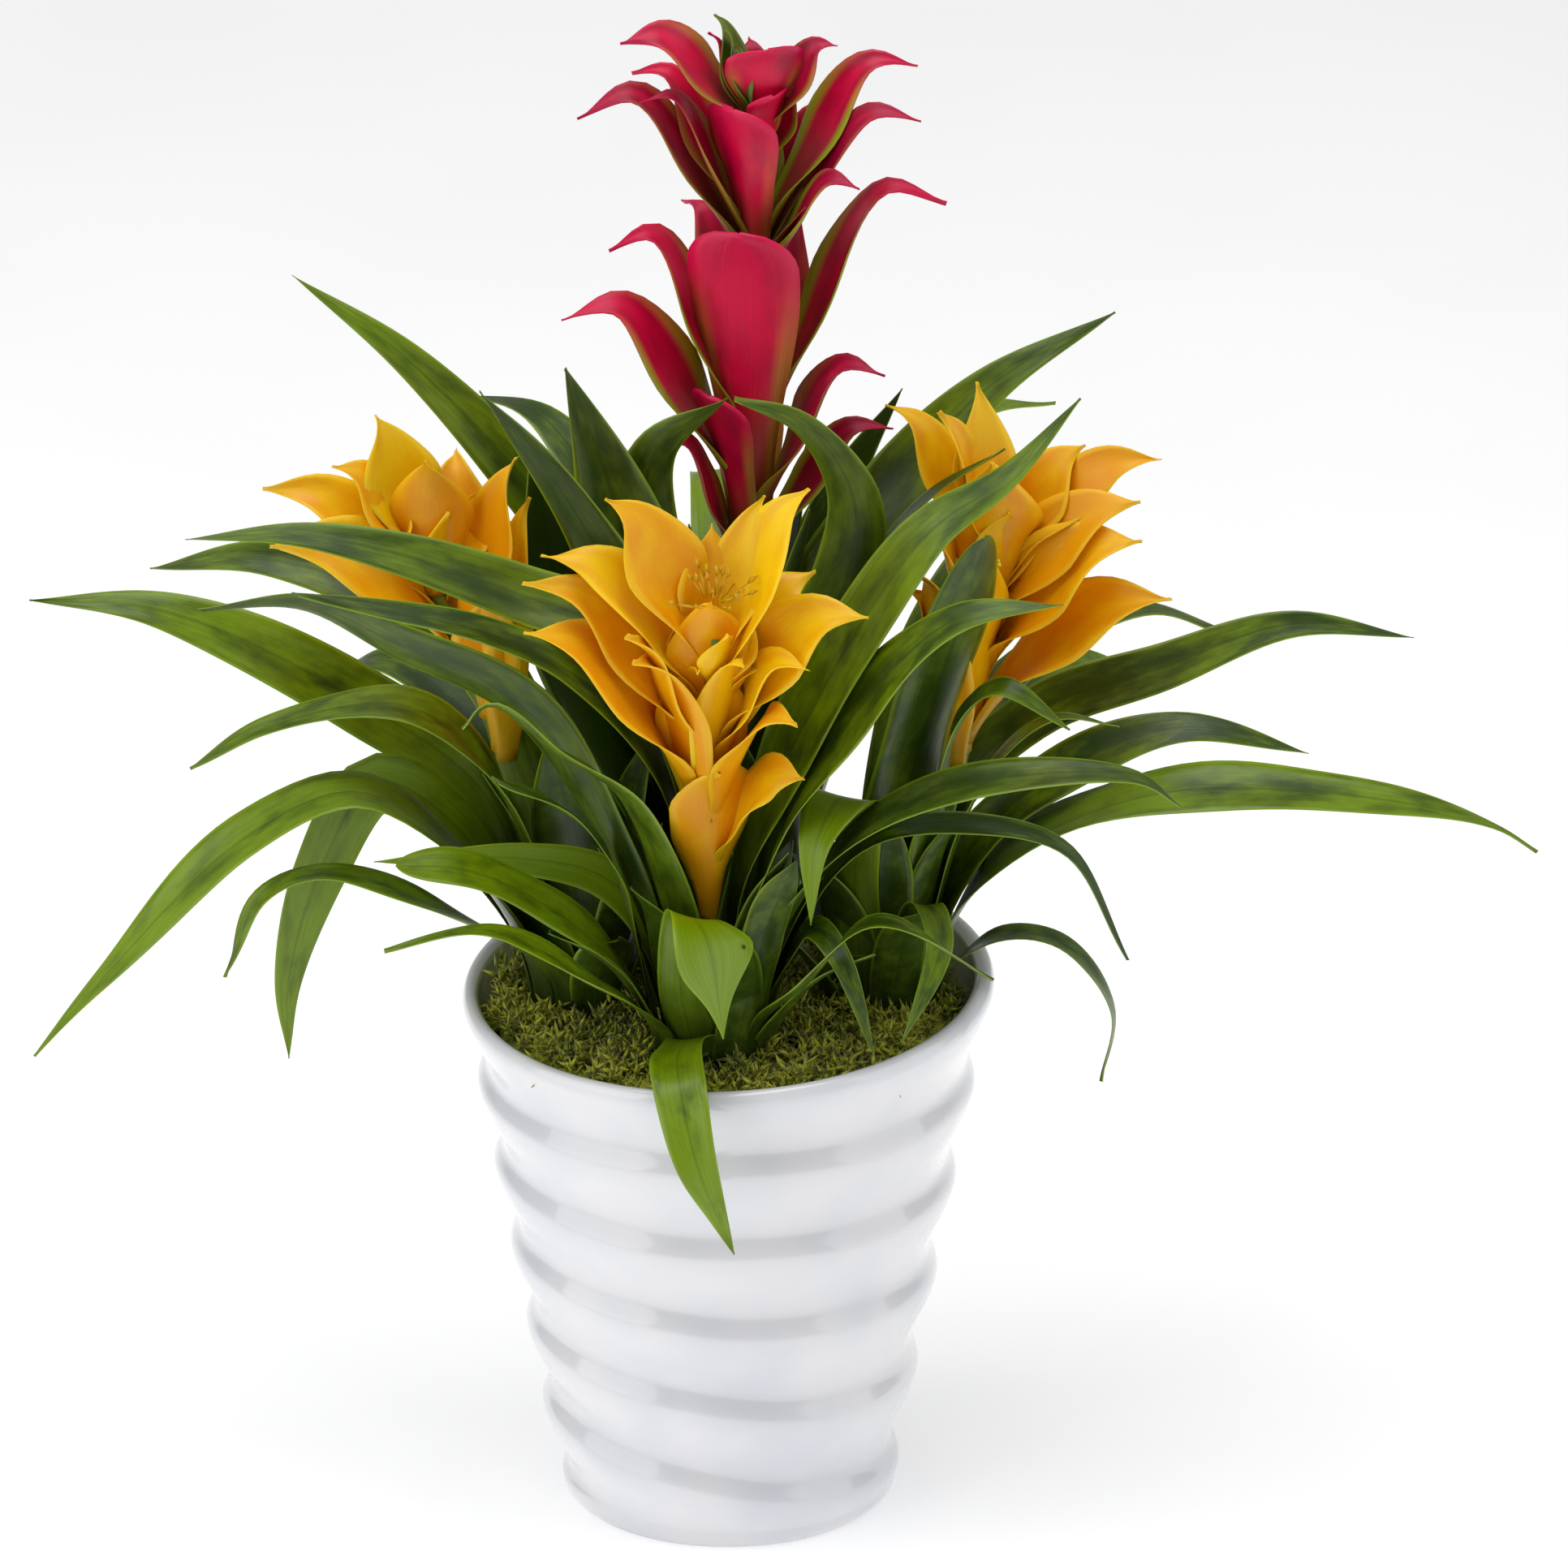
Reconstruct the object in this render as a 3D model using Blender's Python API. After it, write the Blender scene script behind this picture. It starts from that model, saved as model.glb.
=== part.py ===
"""Four guzmania bromeliads planted in a white glazed ceramic vase.

Metres, +Z up. The vase stands on z = 0 with its axis on the world Z axis, and the
front of the arrangement faces -Y. Every leaf, every flower spike, the moss, the soil
and the vase is one closed body of its own.
"""
import math
import random

import bpy
import bmesh
import numpy as np
from mathutils import Vector, Quaternion

MM = 0.001

# ---- driving dimensions (mm) -------------------------------------------------------
VASE_HEIGHT = 200.0        # mean height of the rim
RIM_RADIUS = 96.5          # outer radius of the lip
FOOT_RADIUS = 57.0         # radius of the flat foot
FOOT_WALL_RADIUS = 60.5    # radius of the outer wall carried down to the foot
RIDGE_COUNT = 4.62         # ridges from the first ridge under the lip to the foot
RIDGE_DEPTH = 5.0          # how far a ridge stands out from its valley
RIDGE_SWAY = 0.085         # the ridges fan out: closer on the left, wider on the right
RIM_TILT_X = 4.0           # the rim is hand made: higher on the right ...
RIM_TILT_Y = 3.0           # ... and at the back
WALL = 5.5                 # ceramic wall
FLOOR = 8.0                # ceramic floor
CLEARANCE = 0.3            # gap left between neighbouring bodies
SOIL_DROP = 22.0           # soil surface below the mean rim
MOSS_DEPTH = 12.0          # thickness of the moss blanket
MOSS_BUMP = 1.6            # height of the moss cushions
CROWN_OPENING = 24.0       # radius of the hole in the moss around each crown
LEAF_THICKNESS = 1.1       # middle of a leaf
BRACT_THICKNESS = 1.4      # middle of a bract
BRACT_RIM = 0.7            # margin of a bract
RING_FIRST = 6.6           # innermost ring of leaf bases around a crown
RING_STEP = 2.05           # spacing of the rings of leaf bases
LEAF_BASE_WIDTH = 9.0      # width of a leaf where it leaves the crown
STEM_RADIUS = 4.0          # flower stalk

# ---- derived -----------------------------------------------------------------------
SOIL_TOP = VASE_HEIGHT - SOIL_DROP
SEAT = SOIL_TOP + CLEARANCE
WALL_SLOPE = (RIM_RADIUS - FOOT_WALL_RADIUS) / VASE_HEIGHT
FIRST_RIDGE = 0.8 * VASE_HEIGHT
PITCH = FIRST_RIDGE / RIDGE_COUNT
SPREAD = RIM_RADIUS / 96.5  # the planting is laid out for this rim and widens with it

# crown positions on the soil (x, y)
CROWNS = {
    "front": (-5.0, -38.0),
    "left": (-51.0, 5.0),
    "right": (56.0, 5.0),
    "crimson": (5.0, 42.0),
}

# One row per leaf: name, ring of the crown it grows from, compass angle where it leaves
# the crown (0 right, 90 back, 180 left, 270 front), width, how much of its length
# tapers to the tip, roll at the tip (degrees), and the points its middle line passes
# through (right, back, up) in mm from the crown.
LEAVES = {
    "left": (
        ("long", 5, 154, 24, 0.45, -35, ((-34, 17, 80), (-80, 20, 118), (-150, 24, 152), (-198, 24, 156))),
        ("upper", 3, 140, 22, 0.40, -30, ((-18, 24, 88), (-44, 44, 132), (-112, 56, 158), (-156, 62, 152))),
        ("short", 4, 210, 21, 0.40, -35, ((-18, -9, 62), (-36, -16, 110), (-64, -19, 134), (-112, -20, 126),
                                          (-140, -24, 112))),
        ("trailing", 6, 213, 20, 0.40, -45, ((-19, -14, 30), (-42, -28, 76), (-80, -32, 106), (-120, -36, 90),
                                             (-172, -40, 36), (-196, -44, 8))),
        ("hanging", 6, 181, 20, 0.40, -80, ((-24, -3, 38), (-48, -5, 83), (-74, -10, 100), (-94, -14, 68),
                                            (-106, -15, 24), (-106, -15, -6))),
        ("slim", 6, 248, 14, 0.50, -25, ((-10, -22, 29), (-46, -38, 60), (-90, -44, 80), (-114, -48, 72),
                                         (-128, -50, 42))),
        ("inner", 1, 260, 26, 0.30, 0, ((-2, -12, 46), (-6, -18, 92), (-12, -22, 124))),
        ("back_low", 5, 120, 22, 0.45, 0, ((-16, 26, 50), (-38, 54, 92), (-72, 88, 104), (-100, 112, 84))),
        ("back_high", 2, 95, 22, 0.45, 0, ((4, 24, 72), (-6, 54, 126), (-38, 92, 156), (-74, 122, 152))),
    ),
    "front": (
        ("grey_left", 4, 190, 24, 0.45, 50, ((-22, -3, 56), (-38, -4, 96), (-66, -4, 146), (-110, -4, 170),
                                             (-144, -4, 186), (-182, -4, 184))),
        ("high_left", 1, 165, 22, 0.45, -35, ((-9, 2, 120), (-34, 4, 170), (-68, 4, 186), (-116, -2, 206),
                                              (-148, -2, 212), (-186, -2, 210))),
        ("mid_left", 2, 195, 18, 0.45, -30, ((-18, -4, 118), (-50, -10, 162), (-80, -16, 180),
                                              (-118, -22, 192),
                                             (-148, -26, 200))),
        ("bright_left", 5, 143, 14, 0.55, -35, ((-20, 12, 48), (-38, 12, 72), (-68, 3, 84), (-120, -9, 88))),
        ("blunt_left", 5, 198, 17, 0.16, -30, ((-28, -12, 40), (-54, -20, 72), (-86, -26, 92),
                                               (-112, -30, 96))),
        ("low_left", 6, 224, 15, 0.50, -30, ((-21, -17, 28), (-46, -38, 56), (-78, -42, 76),
                                             (-116, -46, 70))),
        ("curled_left", 3, 240, 21, 0.35, -30, ((-14, -16, 72), (-30, -24, 118), (-56, -32, 142),
                                                (-78, -34, 160),
                                                (-88, -32, 150))),
        ("narrow_left", 6, 168, 12, 0.45, 30, ((-26, 1, 46), (-34, -10, 82), (-46, -20, 108),
                                               (-78, -24, 128))),
        ("tall_right", 1, 355, 26, 0.50, 50, ((14, -4, 88), (38, -6, 150), (76, -8, 214), (104, -8, 236),
                                              (130, -6, 266))),
        ("broad_right", 2, 335, 26, 0.45, 45, ((20, -12, 88), (48, -20, 146), (86, -28, 190),
                                               (124, -32, 198))),
        ("grey_right", 3, 322, 20, 0.35, 40, ((24, -12, 60), (54, -22, 106), (94, -30, 128), (150, -30, 130),
                                              (166, -28, 118))),
        ("thin_right", 5, 10, 9, 0.60, 20, ((30, 3, 58), (58, -4, 96), (94, -12, 104), (126, -12, 94),
                                             (148, -10, 50))),
        ("low_right", 6, 314, 13, 0.50, 20, ((19, -18, 30), (32, -34, 50), (58, -44, 80), (100, -48, 60))),
        ("crossing", 6, 345, 10, 0.50, 10, ((24, -8, 40), (36, -14, 64), (46, -28, 58), (58, -38, 24))),
        ("grey_front", 5, 286, 15, 0.25, 0, ((11, -23, 34), (20, -26, 72), (30, -28, 98))),
        ("folded", 4, 262, 34, 0.50, 0, ((-11, -28, 46), (-8, -44, 82), (-2, -58, 80), (4, -68, 46))),
        ("over_rim", 6, 264, 17, 0.45, 0, ((-6, -23, 24), (-12, -46, 29), (-11, -65, 24), (-5, -77, 0),
                                           (8, -77, -34))),
    ),
    "right": (
        ("round", 1, 295, 31, 0.18, 15, ((8, -16, 96), (18, -25, 140), (28, -34, 178), (36, -38, 208))),
        ("short", 2, 315, 20, 0.45, 30, ((18, -17, 86), (28, -32, 134), (42, -43, 152), (66, -49, 138))),
        ("tongue", 3, 333, 11, 0.50, 30, ((27, -9, 78), (42, -13, 112), (62, -20, 130), (84, -24, 128))),
        ("pale_back", 4, 62, 20, 0.40, -25, ((18, 30, 80), (52, 58, 116), (94, 70, 132), (128, 78, 118))),
        ("high", 3, 34, 18, 0.45, 35, ((24, 16, 80), (56, 25, 112), (100, 28, 128), (146, 30, 144),
                                       (190, 32, 138))),
        ("middle", 4, 10, 18, 0.45, 35, ((26, -4, 61), (56, -3, 96), (106, 2, 116), (152, 2, 106))),
        ("long", 5, 340, 24, 0.50, 35, ((24, -10, 42), (44, -14, 72), (94, -18, 98), (160, -16, 98),
                                        (218, -12, 84), (234, -12, 74))),
        ("drooping", 6, 330, 12, 0.45, 20, ((22, -14, 26), (42, -20, 44), (64, -22, 42), (82, -22, 16),
                                            (78, -22, -12))),
        ("bent", 5, 290, 12, 0.50, 0, ((8, -24, 44), (16, -42, 66), (20, -58, 58), (6, -70, 24))),
        ("folded", 4, 250, 26, 0.45, 0, ((-10, -23, 60), (-10, -39, 102), (-16, -56, 114), (-24, -72, 104),
                                         (-26, -80, 76))),
        ("inner", 3, 272, 20, 0.30, 0, ((0, -18, 36), (0, -24, 70), (2, -28, 98))),
        ("back_low", 5, 70, 22, 0.45, 0, ((12, 26, 48), (34, 54, 90), (68, 88, 104), (96, 112, 86))),
        ("back_high", 2, 85, 22, 0.45, 0, ((4, 22, 74), (18, 50, 128), (44, 84, 160), (72, 114, 158))),
    ),
    "crimson": (
        ("outer_left", 3, 160, 22, 0.45, -50, ((-24, 12, 112), (-60, 16, 168), (-118, 22, 234),
                                               (-160, 30, 264))),
        ("broad_left", 3, 235, 30, 0.40, -15, ((-20, -22, 110), (-36, -29, 168), (-50, -31, 220),
                                               (-62, -31, 254))),
        ("curved_inner", 1, 215, 24, 0.40, -20, ((-18, -10, 110), (-34, -16, 170), (-30, -26, 220),
                                                 (-4, -33, 244))),
        ("glossy_left", 4, 240, 22, 0.50, -25, ((-18, -32, 106), (-36, -46, 158), (-62, -53, 214),
                                                (-92, -57, 256))),
        ("dark_left", 5, 190, 26, 0.45, -40, ((-38, -8, 90), (-62, -8, 144), (-70, -8, 184), (-74, -6, 216))),
        ("outer_right", 3, 14, 26, 0.45, 50, ((16, 4, 112), (42, 12, 170), (88, 24, 222), (134, 34, 248))),
        ("hidden_right", 2, 66, 18, 0.40, 30, ((14, 22, 110), (34, 36, 174), (58, 44, 214))),
        ("curved_right", 2, 305, 20, 0.45, 0, ((20, -20, 126), (38, -28, 172), (40, -34, 206), (22, -38, 236),
                                               (-2, -40, 246))),
        ("twin_upper", 3, 328, 18, 0.50, 30, ((26, -13, 106), (44, -18, 164), (66, -29, 202),
                                              (94, -43, 228))),
        ("twin_lower", 4, 295, 15, 0.50, 30, ((24, -32, 104), (48, -38, 164), (68, -42, 198),
                                              (94, -48, 224))),
        ("back_left", 4, 125, 24, 0.45, 0, ((-20, 28, 80), (-44, 62, 148), (-72, 98, 180), (-104, 126, 176))),
        ("back_middle", 5, 92, 26, 0.45, 0, ((0, 32, 70), (-4, 68, 126), (-10, 108, 150), (-18, 150, 134))),
        ("back_right", 4, 60, 24, 0.45, 0, ((18, 28, 84), (46, 60, 150), (80, 92, 182), (114, 120, 176))),
    ),
}

# Flower stalks: the points each one passes through (x, y, height above the table).
STALKS = {
    "front": ((-5, -38, SEAT), (-7, -48, SEAT + 72), (-6, -60, SEAT + 130), (-4, -70, SEAT + 186)),
    "left": ((-51, 5, SEAT), (-70, 10, SEAT + 74), (-92, 20, SEAT + 136), (-116, 30, SEAT + 184)),
    "right": ((56, 5, SEAT), (80, 10, SEAT + 90), (92, 20, SEAT + 146), (101, 30, SEAT + 184)),
    "crimson": ((5, 42, SEAT), (7, 43, SEAT + 120), (10, 44, SEAT + 230), (12, 45, SEAT + 346)),
}

# One row per bract: height of its root above the crown, compass angle (0 right,
# 90 back, -90 front), reach of the tip, rise of the tip, width, outward curl.
BRACTS = {
    "crimson": (
        (326, -169, 50, 48, 22, 0.3), (328, 180, 18, 48, 14, 0.0), (326, -75, 12, 46, 23, 0.0),
        (326, -5, 28, 44, 18, 0.2), (324, 100, 20, 44, 20, 0.1),
        (286, 165, 46, 60, 18, 0.3), (284, -165, 43, 64, 18, 0.3), (276, -174, 64, 62, 20, 0.6),
        (278, -118, 18, 64, 24, 0.1), (286, 4, 57, 66, 20, 0.3), (276, -14, 60, 64, 17, 0.3),
        (284, 36, 34, 50, 20, 0.2), (270, -34, 44, 48, 17, 0.3), (280, 95, 30, 56, 24, 0.2),
        (206, -169, 52, 82, 20, 0.4), (204, -100, 24, 94, 30, 0.1), (210, -4, 69, 98, 24, 0.4),
        (208, 60, 40, 84, 24, 0.3), (206, 125, 44, 82, 24, 0.3),
        (184, -172, 68, 78, 26, 0.4), (176, -20, 51, 66, 24, 0.3), (158, -152, 36, 62, 20, 0.2),
        (168, -124, 26, 66, 20, 0.1), (164, 8, 52, 52, 18, 0.3), (170, 92, 48, 66, 24, 0.3),
    ),
    "front": (
        (166, 174, 38, 68, 24, 0.2), (164, 26, 21, 70, 20, 0.1), (156, -4, 35, 86, 28, 0.1),
        (168, 90, 10, 56, 22, 0.0), (152, -176, 60, 64, 20, 0.4), (124, -167, 67, 84, 20, 0.3),
        (108, -157, 70, 84, 30, 0.2), (112, -136, 40, 80, 20, 0.1), (142, -88, 16, 60, 24, 0.3),
        (132, -14, 58, 62, 24, 0.5), (122, -36, 44, 58, 18, 0.6), (102, -46, 46, 56, 20, 0.6),
        (84, -34, 42, 48, 16, 0.5), (74, -80, 27, 60, 28, 0.3), (152, 22, 40, 50, 22, 0.2),
        (144, 110, 30, 60, 24, 0.2), (120, 142, 44, 64, 24, 0.2), (122, 60, 40, 60, 24, 0.2),
    ),
    "left": (
        (166, 176, 18, 62, 26, 0.0), (162, -168, 37, 52, 22, 0.3), (162, -100, 16, 58, 26, 0.1),
        (150, 178, 67, 52, 20, 0.4), (132, -166, 74, 58, 24, 0.4), (134, -22, 18, 84, 22, 0.1),
        (120, 30, 18, 78, 14, 0.2), (118, -84, 26, 56, 24, 0.2), (146, 90, 30, 58, 24, 0.2),
        (126, 130, 44, 60, 24, 0.3),
    ),
    "right": (
        (162, 170, 40, 68, 18, 0.3), (164, -160, 21, 72, 20, 0.1), (166, 140, 10, 74, 20, 0.0),
        (166, 2, 31, 52, 22, 0.1), (160, -6, 60, 56, 18, 0.4), (146, -14, 57, 60, 22, 0.2),
        (130, -18, 62, 64, 27, 0.2), (108, -11, 76, 62, 26, 0.3), (156, -90, 16, 62, 28, 0.1),
        (140, -150, 24, 62, 20, 0.1), (114, -164, 22, 56, 16, 0.2), (150, 90, 28, 60, 24, 0.2),
        (124, 50, 40, 60, 24, 0.3),
    ),
}


# ---- helpers -----------------------------------------------------------------------
def clear_scene():
    for item in list(bpy.data.objects):
        bpy.data.objects.remove(item, do_unlink=True)
    for mesh in list(bpy.data.meshes):
        bpy.data.meshes.remove(mesh)


def material(name, colour, roughness, coat=0.0):
    mat = bpy.data.materials.new(name)
    mat.use_nodes = True
    shader = mat.node_tree.nodes["Principled BSDF"]
    shader.inputs["Base Color"].default_value = (*colour, 1.0)
    shader.inputs["Roughness"].default_value = roughness
    shader.inputs["Coat Weight"].default_value = coat
    mat.diffuse_color = (*colour, 1.0)
    return mat


def add_object(name, bm, mat):
    bmesh.ops.recalc_face_normals(bm, faces=bm.faces)
    mesh = bpy.data.meshes.new(name)
    bm.to_mesh(mesh)
    bm.free()
    item = bpy.data.objects.new(name, mesh)
    bpy.context.scene.collection.objects.link(item)
    mesh.materials.append(mat)
    return item


def smooth(value):
    value = max(0.0, min(1.0, value))
    return value * value * (3.0 - 2.0 * value)


def laid_out(point):
    """A point of the planting, widened with the rim of the vase."""
    return Vector((point[0] * SPREAD, point[1] * SPREAD, point[2]))


def spline(points, fractions, start_pull):
    """Centripetal Catmull-Rom curve through the points, read at the given fractions."""
    knots = [Vector(p) for p in points]
    first = knots[0] - Vector(start_pull)
    last = knots[-1] * 2.0 - knots[-2]
    ctrl = [first] + knots + [last]
    dense = []
    for i in range(1, len(ctrl) - 2):
        p0, p1, p2, p3 = ctrl[i - 1:i + 3]
        t0 = 0.0
        t1 = t0 + (p1 - p0).length ** 0.5
        t2 = t1 + (p2 - p1).length ** 0.5
        t3 = t2 + (p3 - p2).length ** 0.5
        for k in range(24):
            t = t1 + (t2 - t1) * k / 24.0
            a1 = p0 * ((t1 - t) / (t1 - t0)) + p1 * ((t - t0) / (t1 - t0))
            a2 = p1 * ((t2 - t) / (t2 - t1)) + p2 * ((t - t1) / (t2 - t1))
            a3 = p2 * ((t3 - t) / (t3 - t2)) + p3 * ((t - t2) / (t3 - t2))
            b1 = a1 * ((t2 - t) / (t2 - t0)) + a2 * ((t - t0) / (t2 - t0))
            b2 = a2 * ((t3 - t) / (t3 - t1)) + a3 * ((t - t1) / (t3 - t1))
            dense.append(b1 * ((t2 - t) / (t2 - t1)) + b2 * ((t - t1) / (t2 - t1)))
    dense.append(knots[-1])
    cumulative = [0.0]
    for a, b in zip(dense, dense[1:]):
        cumulative.append(cumulative[-1] + (b - a).length)
    total = cumulative[-1]
    result = []
    for fraction in fractions:
        target = fraction * total
        k = 0
        while k < len(cumulative) - 2 and cumulative[k + 1] < target:
            k += 1
        span = cumulative[k + 1] - cumulative[k]
        mix = 0.0 if span == 0.0 else (target - cumulative[k]) / span
        point = dense[k].lerp(dense[k + 1], mix)
        tangent = (dense[k + 1] - dense[k]).normalized()
        result.append((point, tangent))
    return result


def blade(bm, frames, side, widths, channels, rolls, thickness, rim=0.0):
    """A thin strap with a shallow V section, sharp at its margins or rim mm thick there."""
    rings = []
    for (centre, tangent), width, channel, roll in zip(frames, widths, channels, rolls):
        side = (side - tangent * side.dot(tangent)).normalized()
        turned = Quaternion(tangent, roll) @ side
        normal = tangent.cross(turned)
        left = centre + turned * (width * 0.5) + normal * (channel * width * 0.5)
        right = centre - turned * (width * 0.5) + normal * (channel * width * 0.5)
        above = centre + normal * (thickness * 0.5)
        below = centre - normal * (thickness * 0.5)
        if rim > 0.0:
            brim = normal * (rim * 0.5)
            corners = (left + brim, above, right + brim, right - brim, below, left - brim)
        else:
            corners = (left, above, right, below)
        rings.append([bm.verts.new(c * MM) for c in corners])
    count = len(rings[0])
    for a, b in zip(rings, rings[1:]):
        for k in range(count):
            p, q, r, s = a[k], a[(k + 1) % count], b[(k + 1) % count], b[k]
            if count > 4:
                bm.faces.new((p, q, r, s))
            elif k < 2:
                bm.faces.new((p, q, r))
                bm.faces.new((p, r, s))
            else:
                # the underside is split like the face above it, so the two stay apart
                bm.faces.new((p, q, s))
                bm.faces.new((q, r, s))
    bm.faces.new(rings[0][::-1])
    bm.faces.new(rings[-1])


# ---- vase --------------------------------------------------------------------------
def ridge_shape(phase):
    """0 on the crest, -1 in the valley, which sits close above the next crest."""
    phase = phase - math.floor(phase)
    if phase < 0.69:
        return -0.5 + 0.5 * math.cos(math.pi * phase / 0.69)
    return -0.5 - 0.5 * math.cos(math.pi * (phase - 0.69) / 0.31)


def rim_height(angle):
    return VASE_HEIGHT + RIM_TILT_X * math.cos(angle) + RIM_TILT_Y * math.sin(angle)


def wall_radius(z):
    return FOOT_WALL_RADIUS + WALL_SLOPE * z


def outer_radius(z, angle):
    pitch = PITCH * (1.0 + RIDGE_SWAY * math.cos(angle))
    return wall_radius(z) + RIDGE_DEPTH * ridge_shape((FIRST_RIDGE - z) / pitch)


def inner_radius(z):
    return wall_radius(z) - RIDGE_DEPTH - WALL


def lathe(bm, profile, segments):
    """profile(angle) gives the (radius, z) points of the closed outline."""
    columns = []
    for k in range(segments):
        angle = 2.0 * math.pi * k / segments
        points = profile(angle)
        column = [bm.verts.new((r * math.cos(angle) * MM, r * math.sin(angle) * MM, z * MM))
                  for r, z in points]
        columns.append(column)
    low = bm.verts.new((0.0, 0.0, profile(0.0)[0][1] * MM))
    high = bm.verts.new((0.0, 0.0, profile(0.0)[-1][1] * MM))
    for k in range(segments):
        a = columns[k]
        b = columns[(k + 1) % segments]
        bm.faces.new((low, b[0], a[0]))
        bm.faces.new((high, a[-1], b[-1]))
        for j in range(len(a) - 1):
            bm.faces.new((a[j], b[j], b[j + 1], a[j + 1]))


def vase_profile(angle):
    rim = rim_height(angle)
    foot_rise = 6.0
    points = [(FOOT_RADIUS, 0.0), (FOOT_RADIUS + 1.6, 0.8)]
    rows = 22
    for k in range(rows + 1):
        z = foot_rise + (rim - 5.0 - foot_rise) * k / rows
        points.append((outer_radius(z, angle), z))
    points.append((RIM_RADIUS - 1.5, rim - 1.4))
    points.append((RIM_RADIUS - 4.2, rim))
    points.append((RIM_RADIUS - 6.8, rim - 1.4))
    points.append((RIM_RADIUS - 8.0, rim - 5.0))
    points.append((inner_radius(rim - 16.0), rim - 16.0))
    points.append((inner_radius(VASE_HEIGHT * 0.5), VASE_HEIGHT * 0.5))
    points.append((inner_radius(FLOOR + 6.0), FLOOR + 6.0))
    points.append((inner_radius(FLOOR) - 8.0, FLOOR))
    return points


def soil_profile(angle):
    gap = CLEARANCE * 1.5
    top = SOIL_TOP
    chord = math.cos(math.pi / 44)
    middle = VASE_HEIGHT * 0.5
    wave = 0.0
    return [
        (inner_radius(FLOOR) - 8.0 - gap, FLOOR + CLEARANCE),
        ((inner_radius(FLOOR + 6.0) - gap) * chord, FLOOR + 6.0 + CLEARANCE),
        ((inner_radius(middle) - gap) * chord, middle),
        ((inner_radius(top - 1.5) - gap) * chord, top - 1.5 + wave),
        ((inner_radius(top) - gap - 1.5) * chord, top),
    ]


def moss_height(x, y):
    swell = math.sin(x * 0.21 + 0.6) * math.cos(y * 0.19) + 0.6 * math.sin(x * 0.47 - y * 0.39)
    return SEAT + MOSS_DEPTH + MOSS_BUMP * 0.6 * swell


def build_moss(mat):
    bm = bmesh.new()
    segments = 44
    edge = inner_radius(SOIL_TOP) - CLEARANCE * 1.5
    shoulder = inner_radius(SOIL_TOP + MOSS_DEPTH * 0.7) - CLEARANCE * 1.5
    radii = [shoulder * f for f in (0.16, 0.34, 0.50, 0.64, 0.76, 0.87, 0.95)]
    chord = math.cos(math.pi / 44)
    rings = []
    under = []
    for radius, z in ((edge * chord, SEAT), (shoulder * chord, SEAT + MOSS_DEPTH * 0.7)):
        under.append([(radius, z)] * segments)
    for radius, z in ((edge * chord, SEAT), (shoulder * chord, SEAT + MOSS_DEPTH * 0.7)):
        rings.append([bm.verts.new((radius * math.cos(2 * math.pi * k / segments) * MM,
                                    radius * math.sin(2 * math.pi * k / segments) * MM, z * MM))
                      for k in range(segments)])
    for radius in reversed(radii):
        ring = []
        for k in range(segments):
            x = radius * math.cos(2 * math.pi * k / segments)
            y = radius * math.sin(2 * math.pi * k / segments)
            ring.append(bm.verts.new((x * MM, y * MM, moss_height(x, y) * MM)))
        rings.append(ring)
    for a, b in zip(rings, rings[1:]):
        for k in range(segments):
            bm.faces.new((a[k], a[(k + 1) % segments], b[(k + 1) % segments], b[k]))
    top = bm.verts.new((0.0, 0.0, moss_height(0.0, 0.0) * MM))
    low = bm.verts.new((0.0, 0.0, SEAT * MM))
    for k in range(segments):
        bm.faces.new((rings[-1][k], rings[-1][(k + 1) % segments], top))
        bm.faces.new((rings[0][(k + 1) % segments], rings[0][k], low))
    moss = add_object("moss", bm, mat)
    for crown, (x, y) in CROWNS.items():
        cutter_mesh = bmesh.new()
        bmesh.ops.create_cone(cutter_mesh, cap_ends=True, segments=20,
                              radius1=CROWN_OPENING * SPREAD * MM,
                              radius2=CROWN_OPENING * SPREAD * MM,
                              depth=80.0 * MM)
        bmesh.ops.translate(cutter_mesh, verts=cutter_mesh.verts,
                            vec=laid_out((x, y, SEAT + 5.0)) * MM)
        cutter = add_object("cutter_" + crown, cutter_mesh, mat)
        apply_boolean(moss, cutter, "DIFFERENCE")
    return moss


def apply_boolean(target, other, operation):
    modifier = target.modifiers.new("cut", "BOOLEAN")
    modifier.operation = operation
    modifier.solver = "EXACT"
    modifier.object = other
    graph = bpy.context.evaluated_depsgraph_get()
    result = bpy.data.meshes.new_from_object(target.evaluated_get(graph))
    target.modifiers.clear()
    old = target.data
    target.data = result
    bpy.data.meshes.remove(old)
    bpy.data.objects.remove(other, do_unlink=True)


# ---- leaves ------------------------------------------------------------------------
LEAF_STATIONS = (0.0, 0.10, 0.24, 0.38, 0.52, 0.66, 0.78, 0.89, 0.96, 1.0)


def leaf_width(t, width, taper, base_width):
    grow = base_width + (width - base_width) * smooth(t / 0.42)
    left = (1.0 - t) / taper
    return grow * min(1.0, max(0.06, left) ** 0.75)


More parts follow.
